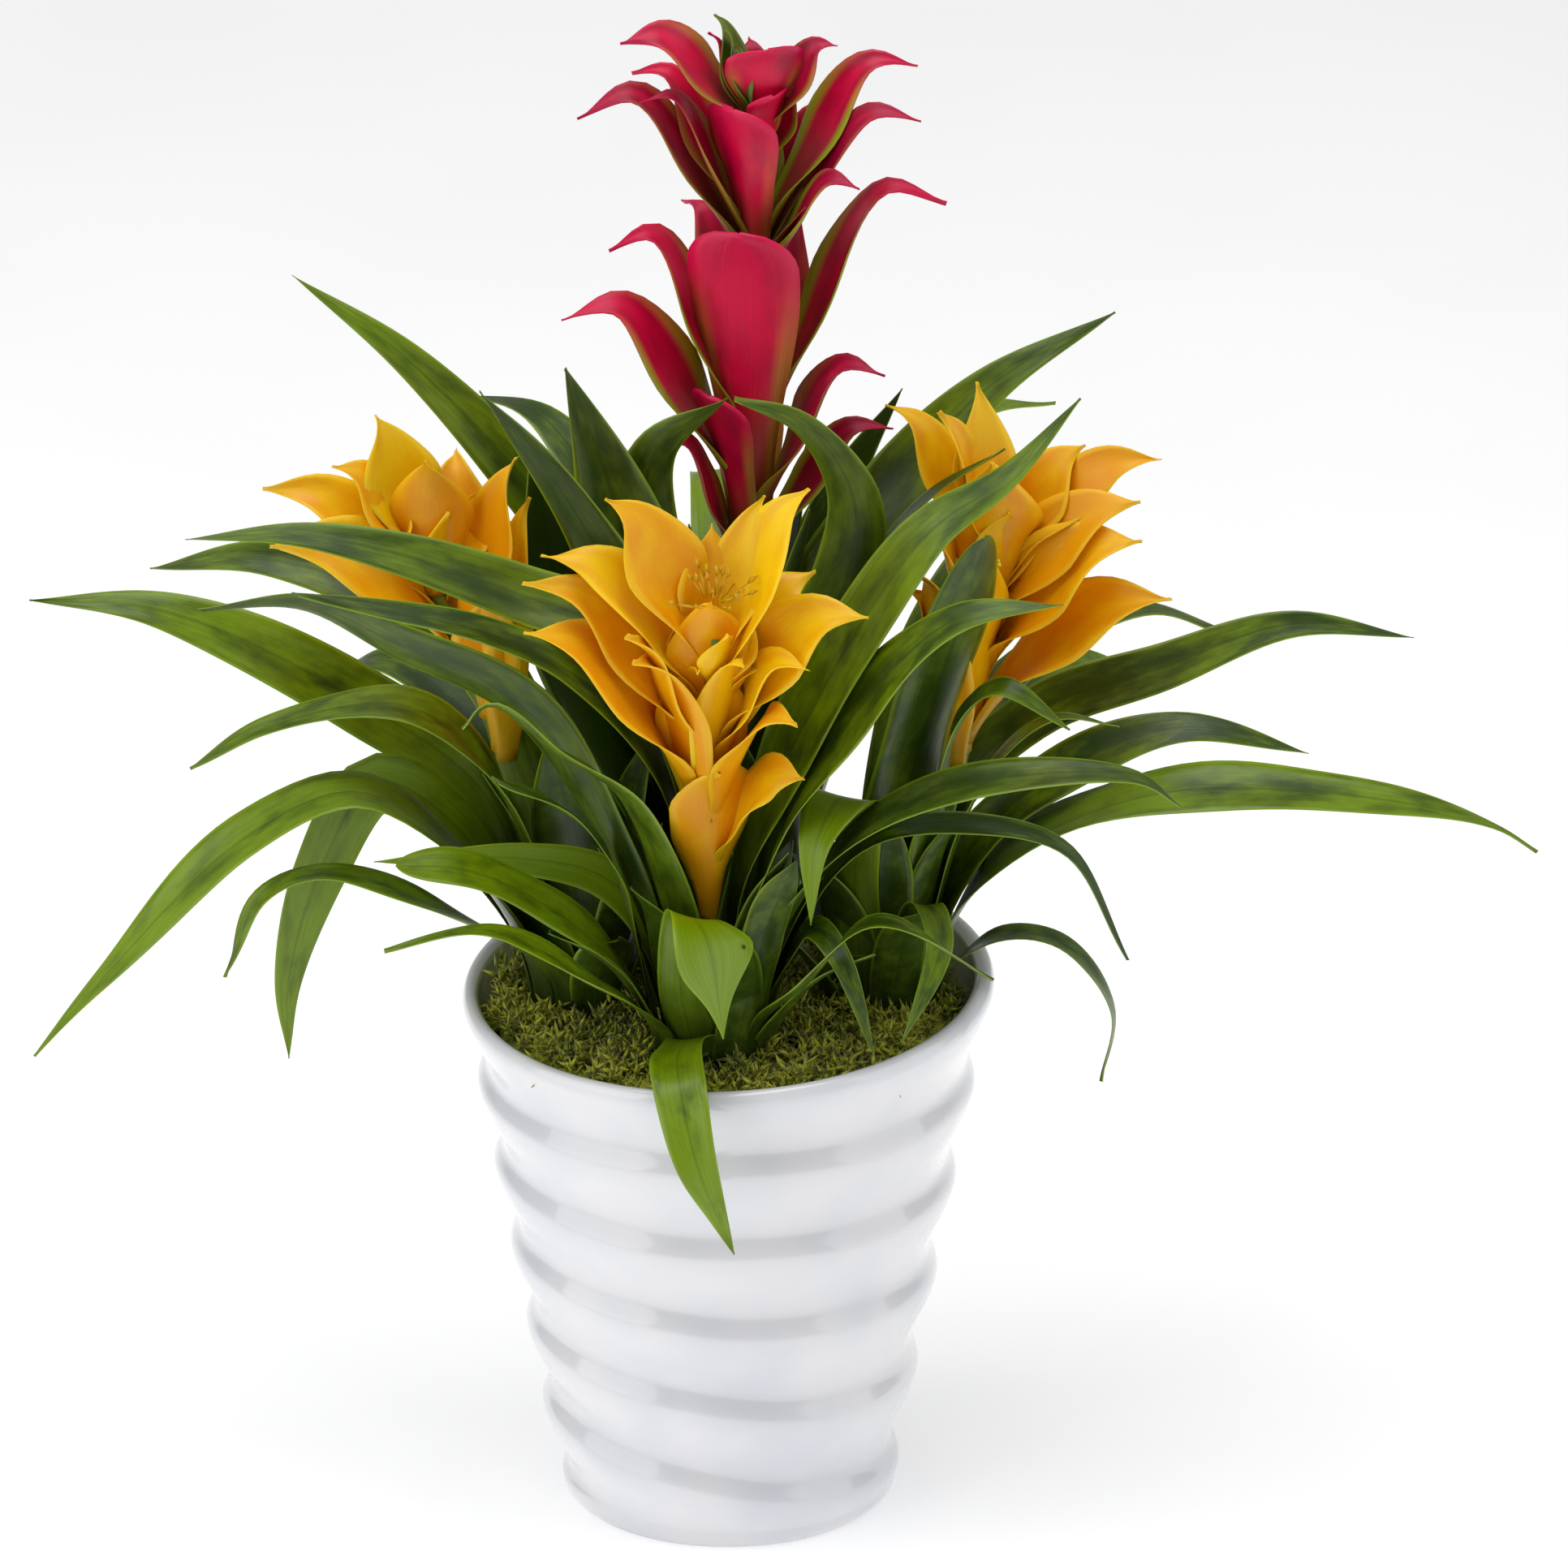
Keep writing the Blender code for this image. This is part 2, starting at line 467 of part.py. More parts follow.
def build_leaf(plant, row, mat):
    name, ring, compass, width, taper, roll, points = row
    angle = math.radians(compass)
    radius = (RING_FIRST + RING_STEP * ring) * SPREAD
    outward = Vector((math.cos(angle), math.sin(angle), 0.0))
    origin = laid_out((*CROWNS[plant], SEAT))
    path = [origin + outward * radius] + [origin + laid_out(p) for p in points]
    frames = spline(path, LEAF_STATIONS, (0.0, 0.0, 24.0))
    frames[0] = (frames[0][0], Vector((0.0, 0.0, 1.0)))
    width = width * SPREAD
    base_width = min(LEAF_BASE_WIDTH * SPREAD, 1.5 * radius)
    half = base_width * 0.5
    base_channel = (radius - math.sqrt(radius * radius - half * half)) / half
    widths = [leaf_width(t, width, taper, base_width) for t in LEAF_STATIONS]
    channels = [base_channel + (0.16 - base_channel) * smooth(t / 0.35) for t in LEAF_STATIONS]
    rolls = [math.radians(roll) * smooth(t / 0.7) for t in LEAF_STATIONS]
    side = Vector((-math.sin(angle), math.cos(angle), 0.0))
    bm = bmesh.new()
    blade(bm, frames, side, widths, channels, rolls, LEAF_THICKNESS * SPREAD)
    return add_object(f"{plant}_leaf_{name}", bm, mat)


# ---- flower spikes -----------------------------------------------------------------
BRACT_STATIONS = (0.0, 0.26, 0.54, 0.80, 1.0)


def stalk_point(plant, height):
    knots = [laid_out(p) for p in STALKS[plant]]
    total = knots[-1].z - knots[0].z
    frames = spline(knots, [k / 40.0 for k in range(41)], (0.0, 0.0, 30.0))
    target = knots[0].z + min(height, total)
    best = min(frames, key=lambda item: abs(item[0].z - target))
    return best[0]


def build_stalk(plant):
    knots = [laid_out(p) for p in STALKS[plant]]
    frames = spline(knots, [k / 8.0 for k in range(9)], (0.0, 0.0, 30.0))
    sides = 8
    bm = bmesh.new()
    rings = []
    for index, (centre, tangent) in enumerate(frames):
        if index == 0:
            tangent = Vector((0.0, 0.0, 1.0))
        right = tangent.cross(Vector((0.0, 1.0, 0.0))).normalized()
        ahead = right.cross(tangent).normalized()
        radius = STEM_RADIUS * SPREAD * (1.0 - 0.25 * index / 8.0)
        ring = []
        for k in range(sides):
            turn = 2.0 * math.pi * k / sides
            spot = centre + right * (radius * math.cos(turn)) + ahead * (radius * math.sin(turn))
            ring.append(bm.verts.new(spot * MM))
        rings.append(ring)
    for k in range(sides):
        for a, b in zip(rings, rings[1:]):
            bm.faces.new((a[k], a[(k + 1) % sides], b[(k + 1) % sides], b[k]))
    bm.faces.new(rings[0][::-1])
    bm.faces.new(rings[-1])
    return bm


def build_bract(row, plant, mat):
    height, compass, reach, rise, width, curl = row
    reach = reach * SPREAD
    width = width * SPREAD
    angle = math.radians(compass)
    outward = Vector((math.cos(angle), math.sin(angle), 0.0))
    side = Vector((-math.sin(angle), math.cos(angle), 0.0))
    up = Vector((0.0, 0.0, 1.0))
    root = stalk_point(plant, height)
    middle = root + outward * (reach * (0.34 - 0.06 * curl) + 3.0) + up * (rise * (0.52 + 0.14 * curl))
    upper = root + outward * (reach * (0.66 - 0.04 * curl) + 1.5) + up * (rise * (0.82 + 0.14 * curl))
    tip = root + outward * reach + up * rise
    frames = spline([root, middle, upper, tip], BRACT_STATIONS, (0.0, 0.0, 10.0))
    widths = []
    for t in BRACT_STATIONS:
        swell = 0.34 + 0.66 * smooth(t / 0.5)
        point = min(1.0, max(0.07, (1.0 - t) / 0.5) ** 0.8)
        widths.append(width * swell * point)
    channels = [0.35 - 0.15 * t for t in BRACT_STATIONS]
    bm = bmesh.new()
    blade(bm, frames, side, widths, channels, [0.0] * len(frames), BRACT_THICKNESS, BRACT_RIM)
    return add_object("bract", bm, mat)


def keep_outer_shell(item):
    """Weld the joined mesh and keep the one shell that encloses it."""
    bm = bmesh.new()
    bm.from_mesh(item.data)
    bmesh.ops.remove_doubles(bm, verts=bm.verts, dist=0.0000001)
    bmesh.ops.triangulate(bm, faces=bm.faces)
    bm.verts.ensure_lookup_table()
    seen = set()
    shells = []
    for start in bm.verts:
        if start in seen:
            continue
        seen.add(start)
        stack = [start]
        shell = []
        while stack:
            vert = stack.pop()
            shell.append(vert)
            for edge in vert.link_edges:
                other = edge.other_vert(vert)
                if other not in seen:
                    seen.add(other)
                    stack.append(other)
        shells.append(shell)
    shells.sort(key=len)
    for shell in shells[:-1]:
        bmesh.ops.delete(bm, geom=shell, context="VERTS")
    bm.to_mesh(item.data)
    bm.free()


def build_spike(plant, mat):
    """The stalk and its bracts grew as one piece, so they are joined into one body."""
    spike = add_object(f"{plant}_flower_spike", build_stalk(plant), mat)
    group = bpy.data.collections.new("bracts")
    bracts = [build_bract(row, plant, mat) for row in BRACTS[plant]]
    for bract in bracts:
        group.objects.link(bract)
    modifier = spike.modifiers.new("join", "BOOLEAN")
    modifier.operation = "UNION"
    modifier.solver = "EXACT"
    modifier.operand_type = "COLLECTION"
    modifier.collection = group
    graph = bpy.context.evaluated_depsgraph_get()
    result = bpy.data.meshes.new_from_object(spike.evaluated_get(graph))
    spike.modifiers.clear()
    spike.data = result
    for bract in bracts:
        bpy.data.objects.remove(bract, do_unlink=True)
    bpy.data.collections.remove(group)
    keep_outer_shell(spike)
    return spike


# ---- assembly ----------------------------------------------------------------------
def main():
    clear_scene()
    ceramic = material("white_glazed_ceramic", (0.86, 0.86, 0.87), 0.12, 0.6)
    earth = material("potting_soil", (0.05, 0.035, 0.02), 0.95)
    green_moss = material("sheet_moss", (0.20, 0.25, 0.04), 0.95)
    leaf_green = material("leaf_green", (0.05, 0.16, 0.02), 0.40)
    crimson = material("crimson_bract", (0.52, 0.01, 0.05), 0.38)
    yellow = material("yellow_bract", (0.85, 0.42, 0.02), 0.40)
    bm = bmesh.new()
    lathe(bm, vase_profile, 44)
    add_object("vase", bm, ceramic)
    bm = bmesh.new()
    lathe(bm, soil_profile, 44)
    add_object("soil", bm, earth)
    build_moss(green_moss)
    for plant in CROWNS:
        build_spike(plant, crimson if plant == "crimson" else yellow)
        for row in LEAVES[plant]:
            build_leaf(plant, row, leaf_green)


main()
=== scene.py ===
# %% [markdown]
# # Four bromeliads in a ridged white vase
#
# This lesson dresses a solid model of a planted vase with finished surfaces. The object
# is a glazed ceramic vase, potting soil, a blanket of sheet moss and four bromeliads:
# a tall crimson one at the back and three short yellow ones around it. Lengths in the
# tables are millimetres, and the front of the arrangement faces -Y.

import math
import random

import bmesh
import bpy
import numpy as np
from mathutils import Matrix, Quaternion, Vector

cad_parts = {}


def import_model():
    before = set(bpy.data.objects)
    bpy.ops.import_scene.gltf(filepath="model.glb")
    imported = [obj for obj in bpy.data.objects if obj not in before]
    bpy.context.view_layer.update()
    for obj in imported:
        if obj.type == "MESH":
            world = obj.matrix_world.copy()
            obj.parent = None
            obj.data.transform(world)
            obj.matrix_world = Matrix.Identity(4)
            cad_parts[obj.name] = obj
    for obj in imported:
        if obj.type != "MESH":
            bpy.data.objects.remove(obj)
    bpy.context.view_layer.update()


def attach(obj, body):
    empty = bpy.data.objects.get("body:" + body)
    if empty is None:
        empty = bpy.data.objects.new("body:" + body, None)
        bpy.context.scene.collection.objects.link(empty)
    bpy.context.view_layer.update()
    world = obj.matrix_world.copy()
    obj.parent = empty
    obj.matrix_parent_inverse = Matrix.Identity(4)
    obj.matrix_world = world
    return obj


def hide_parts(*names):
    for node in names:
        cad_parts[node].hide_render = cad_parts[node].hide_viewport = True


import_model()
MM = 0.001
scene = bpy.context.scene

# %% [markdown]
# The sizes below are the maker's drawing of the vase and of the planting. The visual
# pieces use the same numbers as the solids, so each one lies on its solid.

# %% Sizes of the vase and the planting
VASE_HEIGHT = 200.0
RIM_RADIUS = 96.5
FOOT_RADIUS = 57.0
FOOT_WALL_RADIUS = 60.5
RIDGE_COUNT = 4.62
RIDGE_DEPTH = 5.0
RIDGE_SWAY = 0.085
RIM_TILT = (4.0, 3.0)
WALL = 5.5
FLOOR = 8.0
SOIL_TOP = VASE_HEIGHT - 22.0
SEAT = SOIL_TOP + 0.3
MOSS_DEPTH = 12.0
MOSS_BUMP = 1.6
WALL_SLOPE = (RIM_RADIUS - FOOT_WALL_RADIUS) / VASE_HEIGHT
FIRST_RIDGE = 0.8
PITCH = FIRST_RIDGE * VASE_HEIGHT / RIDGE_COUNT
CROWNS = {"front": (-5, -38), "left": (-51, 5), "right": (56, 5), "crimson": (5, 42)}


def smooth(value):
    """A soft step: 0 at 0, 1 at 1, level at both ends."""
    value = max(0.0, min(1.0, value))
    return value * value * (3.0 - 2.0 * value)


def wall_radius(z):
    return FOOT_WALL_RADIUS + WALL_SLOPE * z


def inner_radius(z):
    return wall_radius(z) - RIDGE_DEPTH - WALL


print("ridge pitch", round(PITCH, 1), "mm")

# %% [markdown]
# Every piece that is dressed here does the same two things: it moves with the model's
# one body, and it takes the place of a solid. The meshes too are made alike: loops of
# points joined side by side into a skin, the faces turned outwards and shaded smoothly.

# %% Helpers that make and dress a piece
def dress(piece, node):
    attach(piece, "root")
    if node:
        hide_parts(node)


def bridge(bm, rings):
    """Join each closed ring of points to the next with a band of four-sided faces."""
    for a, b in zip(rings, rings[1:]):
        for k in range(len(a)):
            after = (k + 1) % len(a)
            bm.faces.new((a[k], a[after], b[after], b[k]))


def map_strap(bm, uv_layer, places):
    """Write (across, along) for every corner into the strap's own UV map."""
    for face in bm.faces:
        for loop in face.loops:
            loop[uv_layer].uv = places[loop.vert]


def add_piece(name, bm, material):
    bmesh.ops.recalc_face_normals(bm, faces=bm.faces)
    mesh = bpy.data.meshes.new(name)
    bm.to_mesh(mesh)
    bm.free()
    mesh.materials.append(material)
    mesh.polygons.foreach_set("use_smooth", [True] * len(mesh.polygons))
    piece = bpy.data.objects.new(name, mesh)
    scene.collection.objects.link(piece)
    return piece


print("piece helpers ready")

# %% [markdown]
# Materials are node trees. A small helper keeps each recipe readable: it adds a node,
# and every named input is either linked from another node's output or set to a value.

# %% A helper that builds node trees
def add_node(tree, kind, out=0, inputs=None, **settings):
    node = tree.nodes.new(kind)
    for key, value in settings.items():
        setattr(node, key, value)
    for key, value in (inputs or {}).items():
        socket = node.inputs[key]
        if isinstance(value, bpy.types.NodeSocket):
            tree.links.new(value, socket)
        else:
            socket.default_value = value
    return node.outputs[out]


def new_material(name):
    material = bpy.data.materials.new(name)
    material.use_nodes = True
    tree = material.node_tree
    return material, tree, tree.nodes["Principled BSDF"]


def linear(r, g, b):
    """A colour as a painter reads it off a chart (0 to 255), as the shader wants it."""
    return tuple(((c / 255) / 12.92 if c <= 10 else ((c / 255 + 0.055) / 1.055) ** 2.4)
                 for c in (r, g, b)) + (1.0,)


def mix(tree, factor, a, b):
    return add_node(tree, "ShaderNodeMix", 2, {0: factor, 6: a, 7: b}, data_type="RGBA")


def ramp(tree, value, low, high, to_low=0.0, to_high=1.0):
    return add_node(tree, "ShaderNodeMapRange", 0,
                    {0: value, 1: low, 2: high, 3: to_low, 4: to_high},
                    interpolation_type="SMOOTHSTEP")


def maths(tree, operation, a, b=0.0):
    return add_node(tree, "ShaderNodeMath", 0, {0: a, 1: b}, operation=operation)


def plus(tree, a, b):
    return maths(tree, "ADD", a, b)


def times(tree, a, b):
    return maths(tree, "MULTIPLY", a, b)


def noise(tree, vector, scale, detail=3.0, rough=0.5):
    return add_node(tree, "ShaderNodeTexNoise", 0,
                    {"Vector": vector, "Scale": scale, "Detail": detail, "Roughness": rough})


def stretched(tree, vector, scale):
    return add_node(tree, "ShaderNodeMapping", 0, {"Vector": vector, "Scale": scale})


def bump(tree, shader, height, strength, distance):
    normal = add_node(tree, "ShaderNodeBump", 0,
                      {"Strength": strength, "Distance": distance, "Height": height})
    tree.links.new(normal, shader.inputs["Normal"])


def paint(tree, shader, colour, roughness):
    tree.links.new(colour, shader.inputs["Base Color"])
    tree.links.new(roughness, shader.inputs["Roughness"])


print("node helpers ready")

# %% [markdown]
# The vase is slip-cast ceramic under a thick white glaze. A clear coat gives the sharp
# reflections, the body under it is slightly duller, and a very shallow, broad
# bump bends the reflections the way a hand-dipped glaze does. The glaze pools a little
# cooler and darker where it is thick.

# %% White glaze
def white_glaze():
    material, tree, shader = new_material("white_glaze")
    place = add_node(tree, "ShaderNodeTexCoord", 3)
    broad = noise(tree, place, 22.0, 2.0)
    fine = noise(tree, place, 420.0, 2.0)
    pooled = ramp(tree, broad, 0.35, 0.7)
    colour = mix(tree, pooled, linear(230, 230, 233), linear(219, 221, 228))
    paint(tree, shader, colour, ramp(tree, broad, 0.3, 0.7, 0.16, 0.26))
    shader.inputs["Coat Weight"].default_value = 1.0
    shader.inputs["Coat Roughness"].default_value = 0.06
    shader.inputs["IOR"].default_value = 1.5
    bump(tree, shader, plus(tree, broad, times(tree, fine, 0.03)), 0.25, 0.003)
    return material


GLAZE = white_glaze()
print("made", GLAZE.name)

# %% [markdown]
# Soil and moss are matte and broken up at several sizes at once. Moss is a patchwork of
# yellow-green tips over painted brown-green shade, with broad patches of painted highlight
# on top, so its colour comes from two noises, one for the highlight patches and one for
# the single sprigs.

# %% Soil and moss
def potting_soil():
    material, tree, shader = new_material("potting_soil")
    place = add_node(tree, "ShaderNodeTexCoord", 3)
    grains = noise(tree, place, 480.0, 5.0, 0.7)
    clods = noise(tree, place, 90.0, 3.0)
    colour = mix(tree, ramp(tree, grains, 0.35, 0.7), linear(30, 21, 14), linear(84, 62, 44))
    colour = mix(tree, ramp(tree, clods, 0.3, 0.7, 0.0, 0.5), colour, linear(48, 34, 22))
    paint(tree, shader, colour, ramp(tree, grains, 0.0, 1.0, 0.85, 1.0))
    bump(tree, shader, grains, 0.8, 0.002)
    return material


def sheet_moss():
    material, tree, shader = new_material("sheet_moss")
    place = add_node(tree, "ShaderNodeTexCoord", 3)
    highlight_patches = noise(tree, place, 55.0, 3.0, 0.6)
    sprigs = noise(tree, place, 260.0, 3.0, 0.6)
    # Painted shade: the dark brown-green between the sprig tips.
    colour = mix(tree, ramp(tree, sprigs, 0.32, 0.62), linear(78, 84, 4), linear(182, 188, 16))
    # Painted highlight: broad patches of the moss turned pale yellow as if lit.
    colour = mix(tree, ramp(tree, highlight_patches, 0.42, 0.68, 0.0, 0.75), colour, linear(218, 218, 56))
    brown = ramp(tree, noise(tree, place, 38.0, 2.0), 0.6, 0.75, 0.0, 0.6)
    colour = mix(tree, brown, colour, linear(96, 78, 30))
    paint(tree, shader, colour, ramp(tree, sprigs, 0.0, 1.0, 0.75, 0.95))
    shader.inputs["Sheen Weight"].default_value = 0.25
    bump(tree, shader, sprigs, 0.6, 0.0015)
    return material


SOIL = potting_soil()
MOSS = sheet_moss()
print("made", SOIL.name, MOSS.name)

# %% [markdown]
# A bromeliad leaf is a glossy strap. Seen close it has a pale margin, painted lighter
# still as light shining through it, faint parallel veins, cloudy patches of lighter and
# darker green, and a dull grey-green underside; painted shade darkens its midrib and the
# part near the crown. All of that follows the leaf, so the pattern reads the leaf's own UV
# map (across, along) and three numbers stored on each vertex: which face it is on, how
# light this leaf is, and how far it has greyed.

# %% Leaf finish
def along_and_across(tree):
    uv = add_node(tree, "ShaderNodeUVMap", 0, uv_map="strap")
    split = tree.nodes.new("ShaderNodeSeparateXYZ")
    tree.links.new(uv, split.inputs[0])
    centred = maths(tree, "SUBTRACT", times(tree, split.outputs[0], 2.0), 1.0)
    return uv, split.outputs[1], maths(tree, "ABSOLUTE", centred)


def stored(tree, name):
    return add_node(tree, "ShaderNodeAttribute", 2, attribute_name=name)


def leaf_finish():
    material, tree, shader = new_material("bromeliad_leaf")
    uv, along, edge = along_and_across(tree)
    under, tone, grey = stored(tree, "under"), stored(tree, "tone"), stored(tree, "grey")
    cloud = noise(tree, stretched(tree, uv, (1.6, 7.0, 1.0)), 1.6, 3.0, 0.55)
    place = add_node(tree, "ShaderNodeTexCoord", 3)
    drift = noise(tree, place, 26.0, 2.0)
    vein = noise(tree, stretched(tree, uv, (46.0, 1.4, 1.0)), 1.0, 2.0, 0.6)
    light = plus(tree, times(tree, cloud, 0.75), times(tree, drift, 0.45))
    light = plus(tree, light, times(tree, tone, 0.22))
    top = mix(tree, ramp(tree, light, 0.42, 0.86), linear(43, 66, 0), linear(122, 151, 0))
    shade = ramp(tree, along, 0.0, 0.45, 0.92, 0.0)
    top = mix(tree, shade, top, linear(16, 30, 0))
    back = mix(tree, ramp(tree, cloud, 0.3, 0.7), linear(48, 72, 12), linear(94, 114, 32))
    # Painted shade: the underside, like the top, darkens towards the crown.
    back = mix(tree, ramp(tree, along, 0.0, 0.3, 0.7, 0.0), back, linear(30, 50, 34))
    greyed = maths(tree, "MAXIMUM", times(tree, under, 0.5), grey)
    colour = mix(tree, greyed, top, back)
    # Pale margin, partly painted light: the edges are lightened as if lit through, less so near
    # the crown.
    rim = times(tree, ramp(tree, edge, 0.86, 1.0, 0.0, 0.8),
                ramp(tree, along, 0.12, 0.5, 0.1, 1.0))
    colour = mix(tree, rim, colour, linear(146, 178, 36))
    # Painted shade: the middle of the leaf is darkened along the groove of its channel.
    midrib_shade = ramp(tree, edge, 0.0, 0.10, 0.28, 0.0)
    colour = mix(tree, midrib_shade, colour, linear(26, 44, 10))
    colour = mix(tree, ramp(tree, vein, 0.35, 0.65, 0.0, 0.22), colour, linear(24, 42, 8))
    paint(tree, shader, colour, ramp(tree, drift, 0.3, 0.7, 0.28, 0.42))
    shader.inputs["Specular IOR Level"].default_value = 0.38
    shader.inputs["Coat Weight"].default_value = 0.08
    shader.inputs["Coat Roughness"].default_value = 0.15
    bump(tree, shader, vein, 0.22, 0.0006)
    return material


LEAF = leaf_finish()
print("made", LEAF.name)

# %% [markdown]
# Bracts are the coloured leaves of the flower head. They are waxy, so a little light
# goes into them, and they change colour along their length: olive where they clasp the
# stalk, full colour in the middle, paler at the margin and the tip.

# %% Bract finishes
def bract_finish(name, root, body, deep, edge_colour, edge_share, root_end, wax, green=None):
    material, tree, shader = new_material(name)
    uv, along, edge = along_and_across(tree)
    tone, grey = stored(tree, "tone"), stored(tree, "grey")
    cloud = noise(tree, stretched(tree, uv, (2.2, 3.0, 1.0)), 1.4, 3.0)
    place = add_node(tree, "ShaderNodeTexCoord", 3)
    drift = noise(tree, place, 34.0, 2.0)
    vein = noise(tree, stretched(tree, uv, (34.0, 1.2, 1.0)), 1.0, 2.0, 0.6)
    light = plus(tree, times(tree, cloud, 0.6), times(tree, drift, 0.5))
    light = plus(tree, light, times(tree, tone, 0.2))
    colour = mix(tree, ramp(tree, light, 0.36, 0.78), deep, body)
    colour = mix(tree, ramp(tree, along, 0.75, 1.0, 0.0, 0.35), colour, edge_colour)
    colour = mix(tree, ramp(tree, edge, 0.72, 1.0, 0.0, edge_share), colour, edge_colour)
    start = plus(tree, along, times(tree, cloud, -0.16))
    colour = mix(tree, ramp(tree, start, -0.08, root_end, 0.92, 0.0), colour, root)
    if green:
        line = times(tree, ramp(tree, edge, 0.5, 0.85), ramp(tree, start, 0.45, 0.8, 1.0, 0.0))
        colour = mix(tree, times(tree, line, grey), colour, green)
    else:
        colour = mix(tree, grey, colour, root)
    colour = mix(tree, ramp(tree, vein, 0.35, 0.7, 0.0, 0.16), colour, deep)
    paint(tree, shader, colour, ramp(tree, drift, 0.3, 0.7, 0.34, 0.46))
    shader.inputs["Subsurface Weight"].default_value = wax
    shader.inputs["Subsurface Radius"].default_value = (0.006, 0.002, 0.001)
    shader.inputs["Subsurface Scale"].default_value = 0.6
    shader.inputs["Specular IOR Level"].default_value = 0.35
    shader.inputs["Coat Weight"].default_value = 0.06
    shader.inputs["Coat Roughness"].default_value = 0.25
    bump(tree, shader, vein, 0.25, 0.0006)
    return material


YELLOW = bract_finish("yellow_bract", linear(190, 150, 0), linear(250, 204, 0),
                      linear(236, 158, 0), linear(255, 218, 40), 0.45, 0.24, 0.15)
CRIMSON = bract_finish("crimson_bract", linear(92, 84, 10), linear(222, 0, 66),
                       linear(150, 0, 46), linear(214, 16, 84), 0.25, 0.5, 0.08,
                       linear(146, 164, 18))
STALK_GREEN = bract_finish("flower_stalk", linear(70, 92, 26), linear(110, 132, 40),
                           linear(74, 96, 28), linear(140, 150, 50), 0.3, 0.2, 0.0)
print("made", YELLOW.name, CRIMSON.name, STALK_GREEN.name)

# %% [markdown]
# The vase is a lathe shape with a rule: the wall leans outwards in a straight line, and
# ridges run round it like a coil of rope, each with its sharp hollow just above the
# next crest. It could be drawn as a curve and spun, but then the hand-made parts of it,
# a tilted rim and ridges that fan out to one side, would be lost. A grid whose points
# are placed by formula keeps them: across is the angle, up is the walk along the
# outline from under the foot, over the lip and down to the inner floor. The tree gets
# named inputs for its sizes and is run once, so what stays is a plain mesh.

# %% Helpers that make and run a Geometry Nodes tree
def new_tree(name, sizes):
    tree = bpy.data.node_groups.new(name, "GeometryNodeTree")
    new_socket = tree.interface.new_socket
    new_socket("Geometry", in_out="INPUT", socket_type="NodeSocketGeometry")
    new_socket("Geometry", in_out="OUTPUT", socket_type="NodeSocketGeometry")
    keys = {label: new_socket(label, in_out="INPUT", socket_type=kind).identifier
            for label, kind in sizes}
    source = tree.nodes.new("NodeGroupInput")
    return tree, keys, {label: source.outputs[label] for label, _ in sizes}, source.outputs[0]


def finish_tree(tree, geometry, material):
    real = add_node(tree, "GeometryNodeRealizeInstances", 0, {0: geometry})
    dressed = tree.nodes.new("GeometryNodeSetMaterial")
    dressed.inputs["Material"].default_value = material
    tree.links.new(real, dressed.inputs[0])
    end = tree.nodes.new("NodeGroupOutput")
    tree.links.new(dressed.outputs[0], end.inputs[0])


def bake_tree(name, base, tree, values):
    """Run the tree on a base mesh and keep the result as a plain mesh piece."""
    piece = bpy.data.objects.new(name, base)
    scene.collection.objects.link(piece)
    modifier = piece.modifiers.new("build", "NODES")
    modifier.node_group = tree
    for key, value in values.items():
        modifier[key] = value
    graph = bpy.context.evaluated_depsgraph_get()
    mesh = bpy.data.meshes.new_from_object(piece.evaluated_get(graph))
    piece.modifiers.clear()
    piece.data = mesh
    mesh.name = name
    return piece


print("tree helpers ready")

# %% [markdown]
# The rule of one ridge: from its crest the wall falls inwards slowly, over about two
# thirds of the pitch, then climbs back quickly to the next crest, both as half a cosine
# wave. A faint noise moves the ridges up and down by a millimetre or two, as clay does.

# %% The tree that shapes the vase
OUTLINE = (("under", 2), ("foot", 6), ("outside", 176), ("lip", 16), ("inside", 20),
           ("fillet", 6), ("floor", 2))
AROUND = 224
FALL_SHARE = 0.69
WOBBLE, WOBBLE_RATE = 0.004, 12.0
FOOT_RISE, LIP_DROP = 0.006, 0.005
LIP_INSET, LIP_DEPTH = 0.008, 0.016
FILLET_IN, FILLET_DOWN = 0.008, 0.006
JUST_OVER = 0.01
VASE_SIZES = [(label, "NodeSocketFloat") for label in (
    "Height", "Rim radius", "Foot radius", "Foot wall radius", "Pitch", "Ridge depth",
    "Ridge sway", "Tilt right", "Tilt back", "Wall", "Floor")]


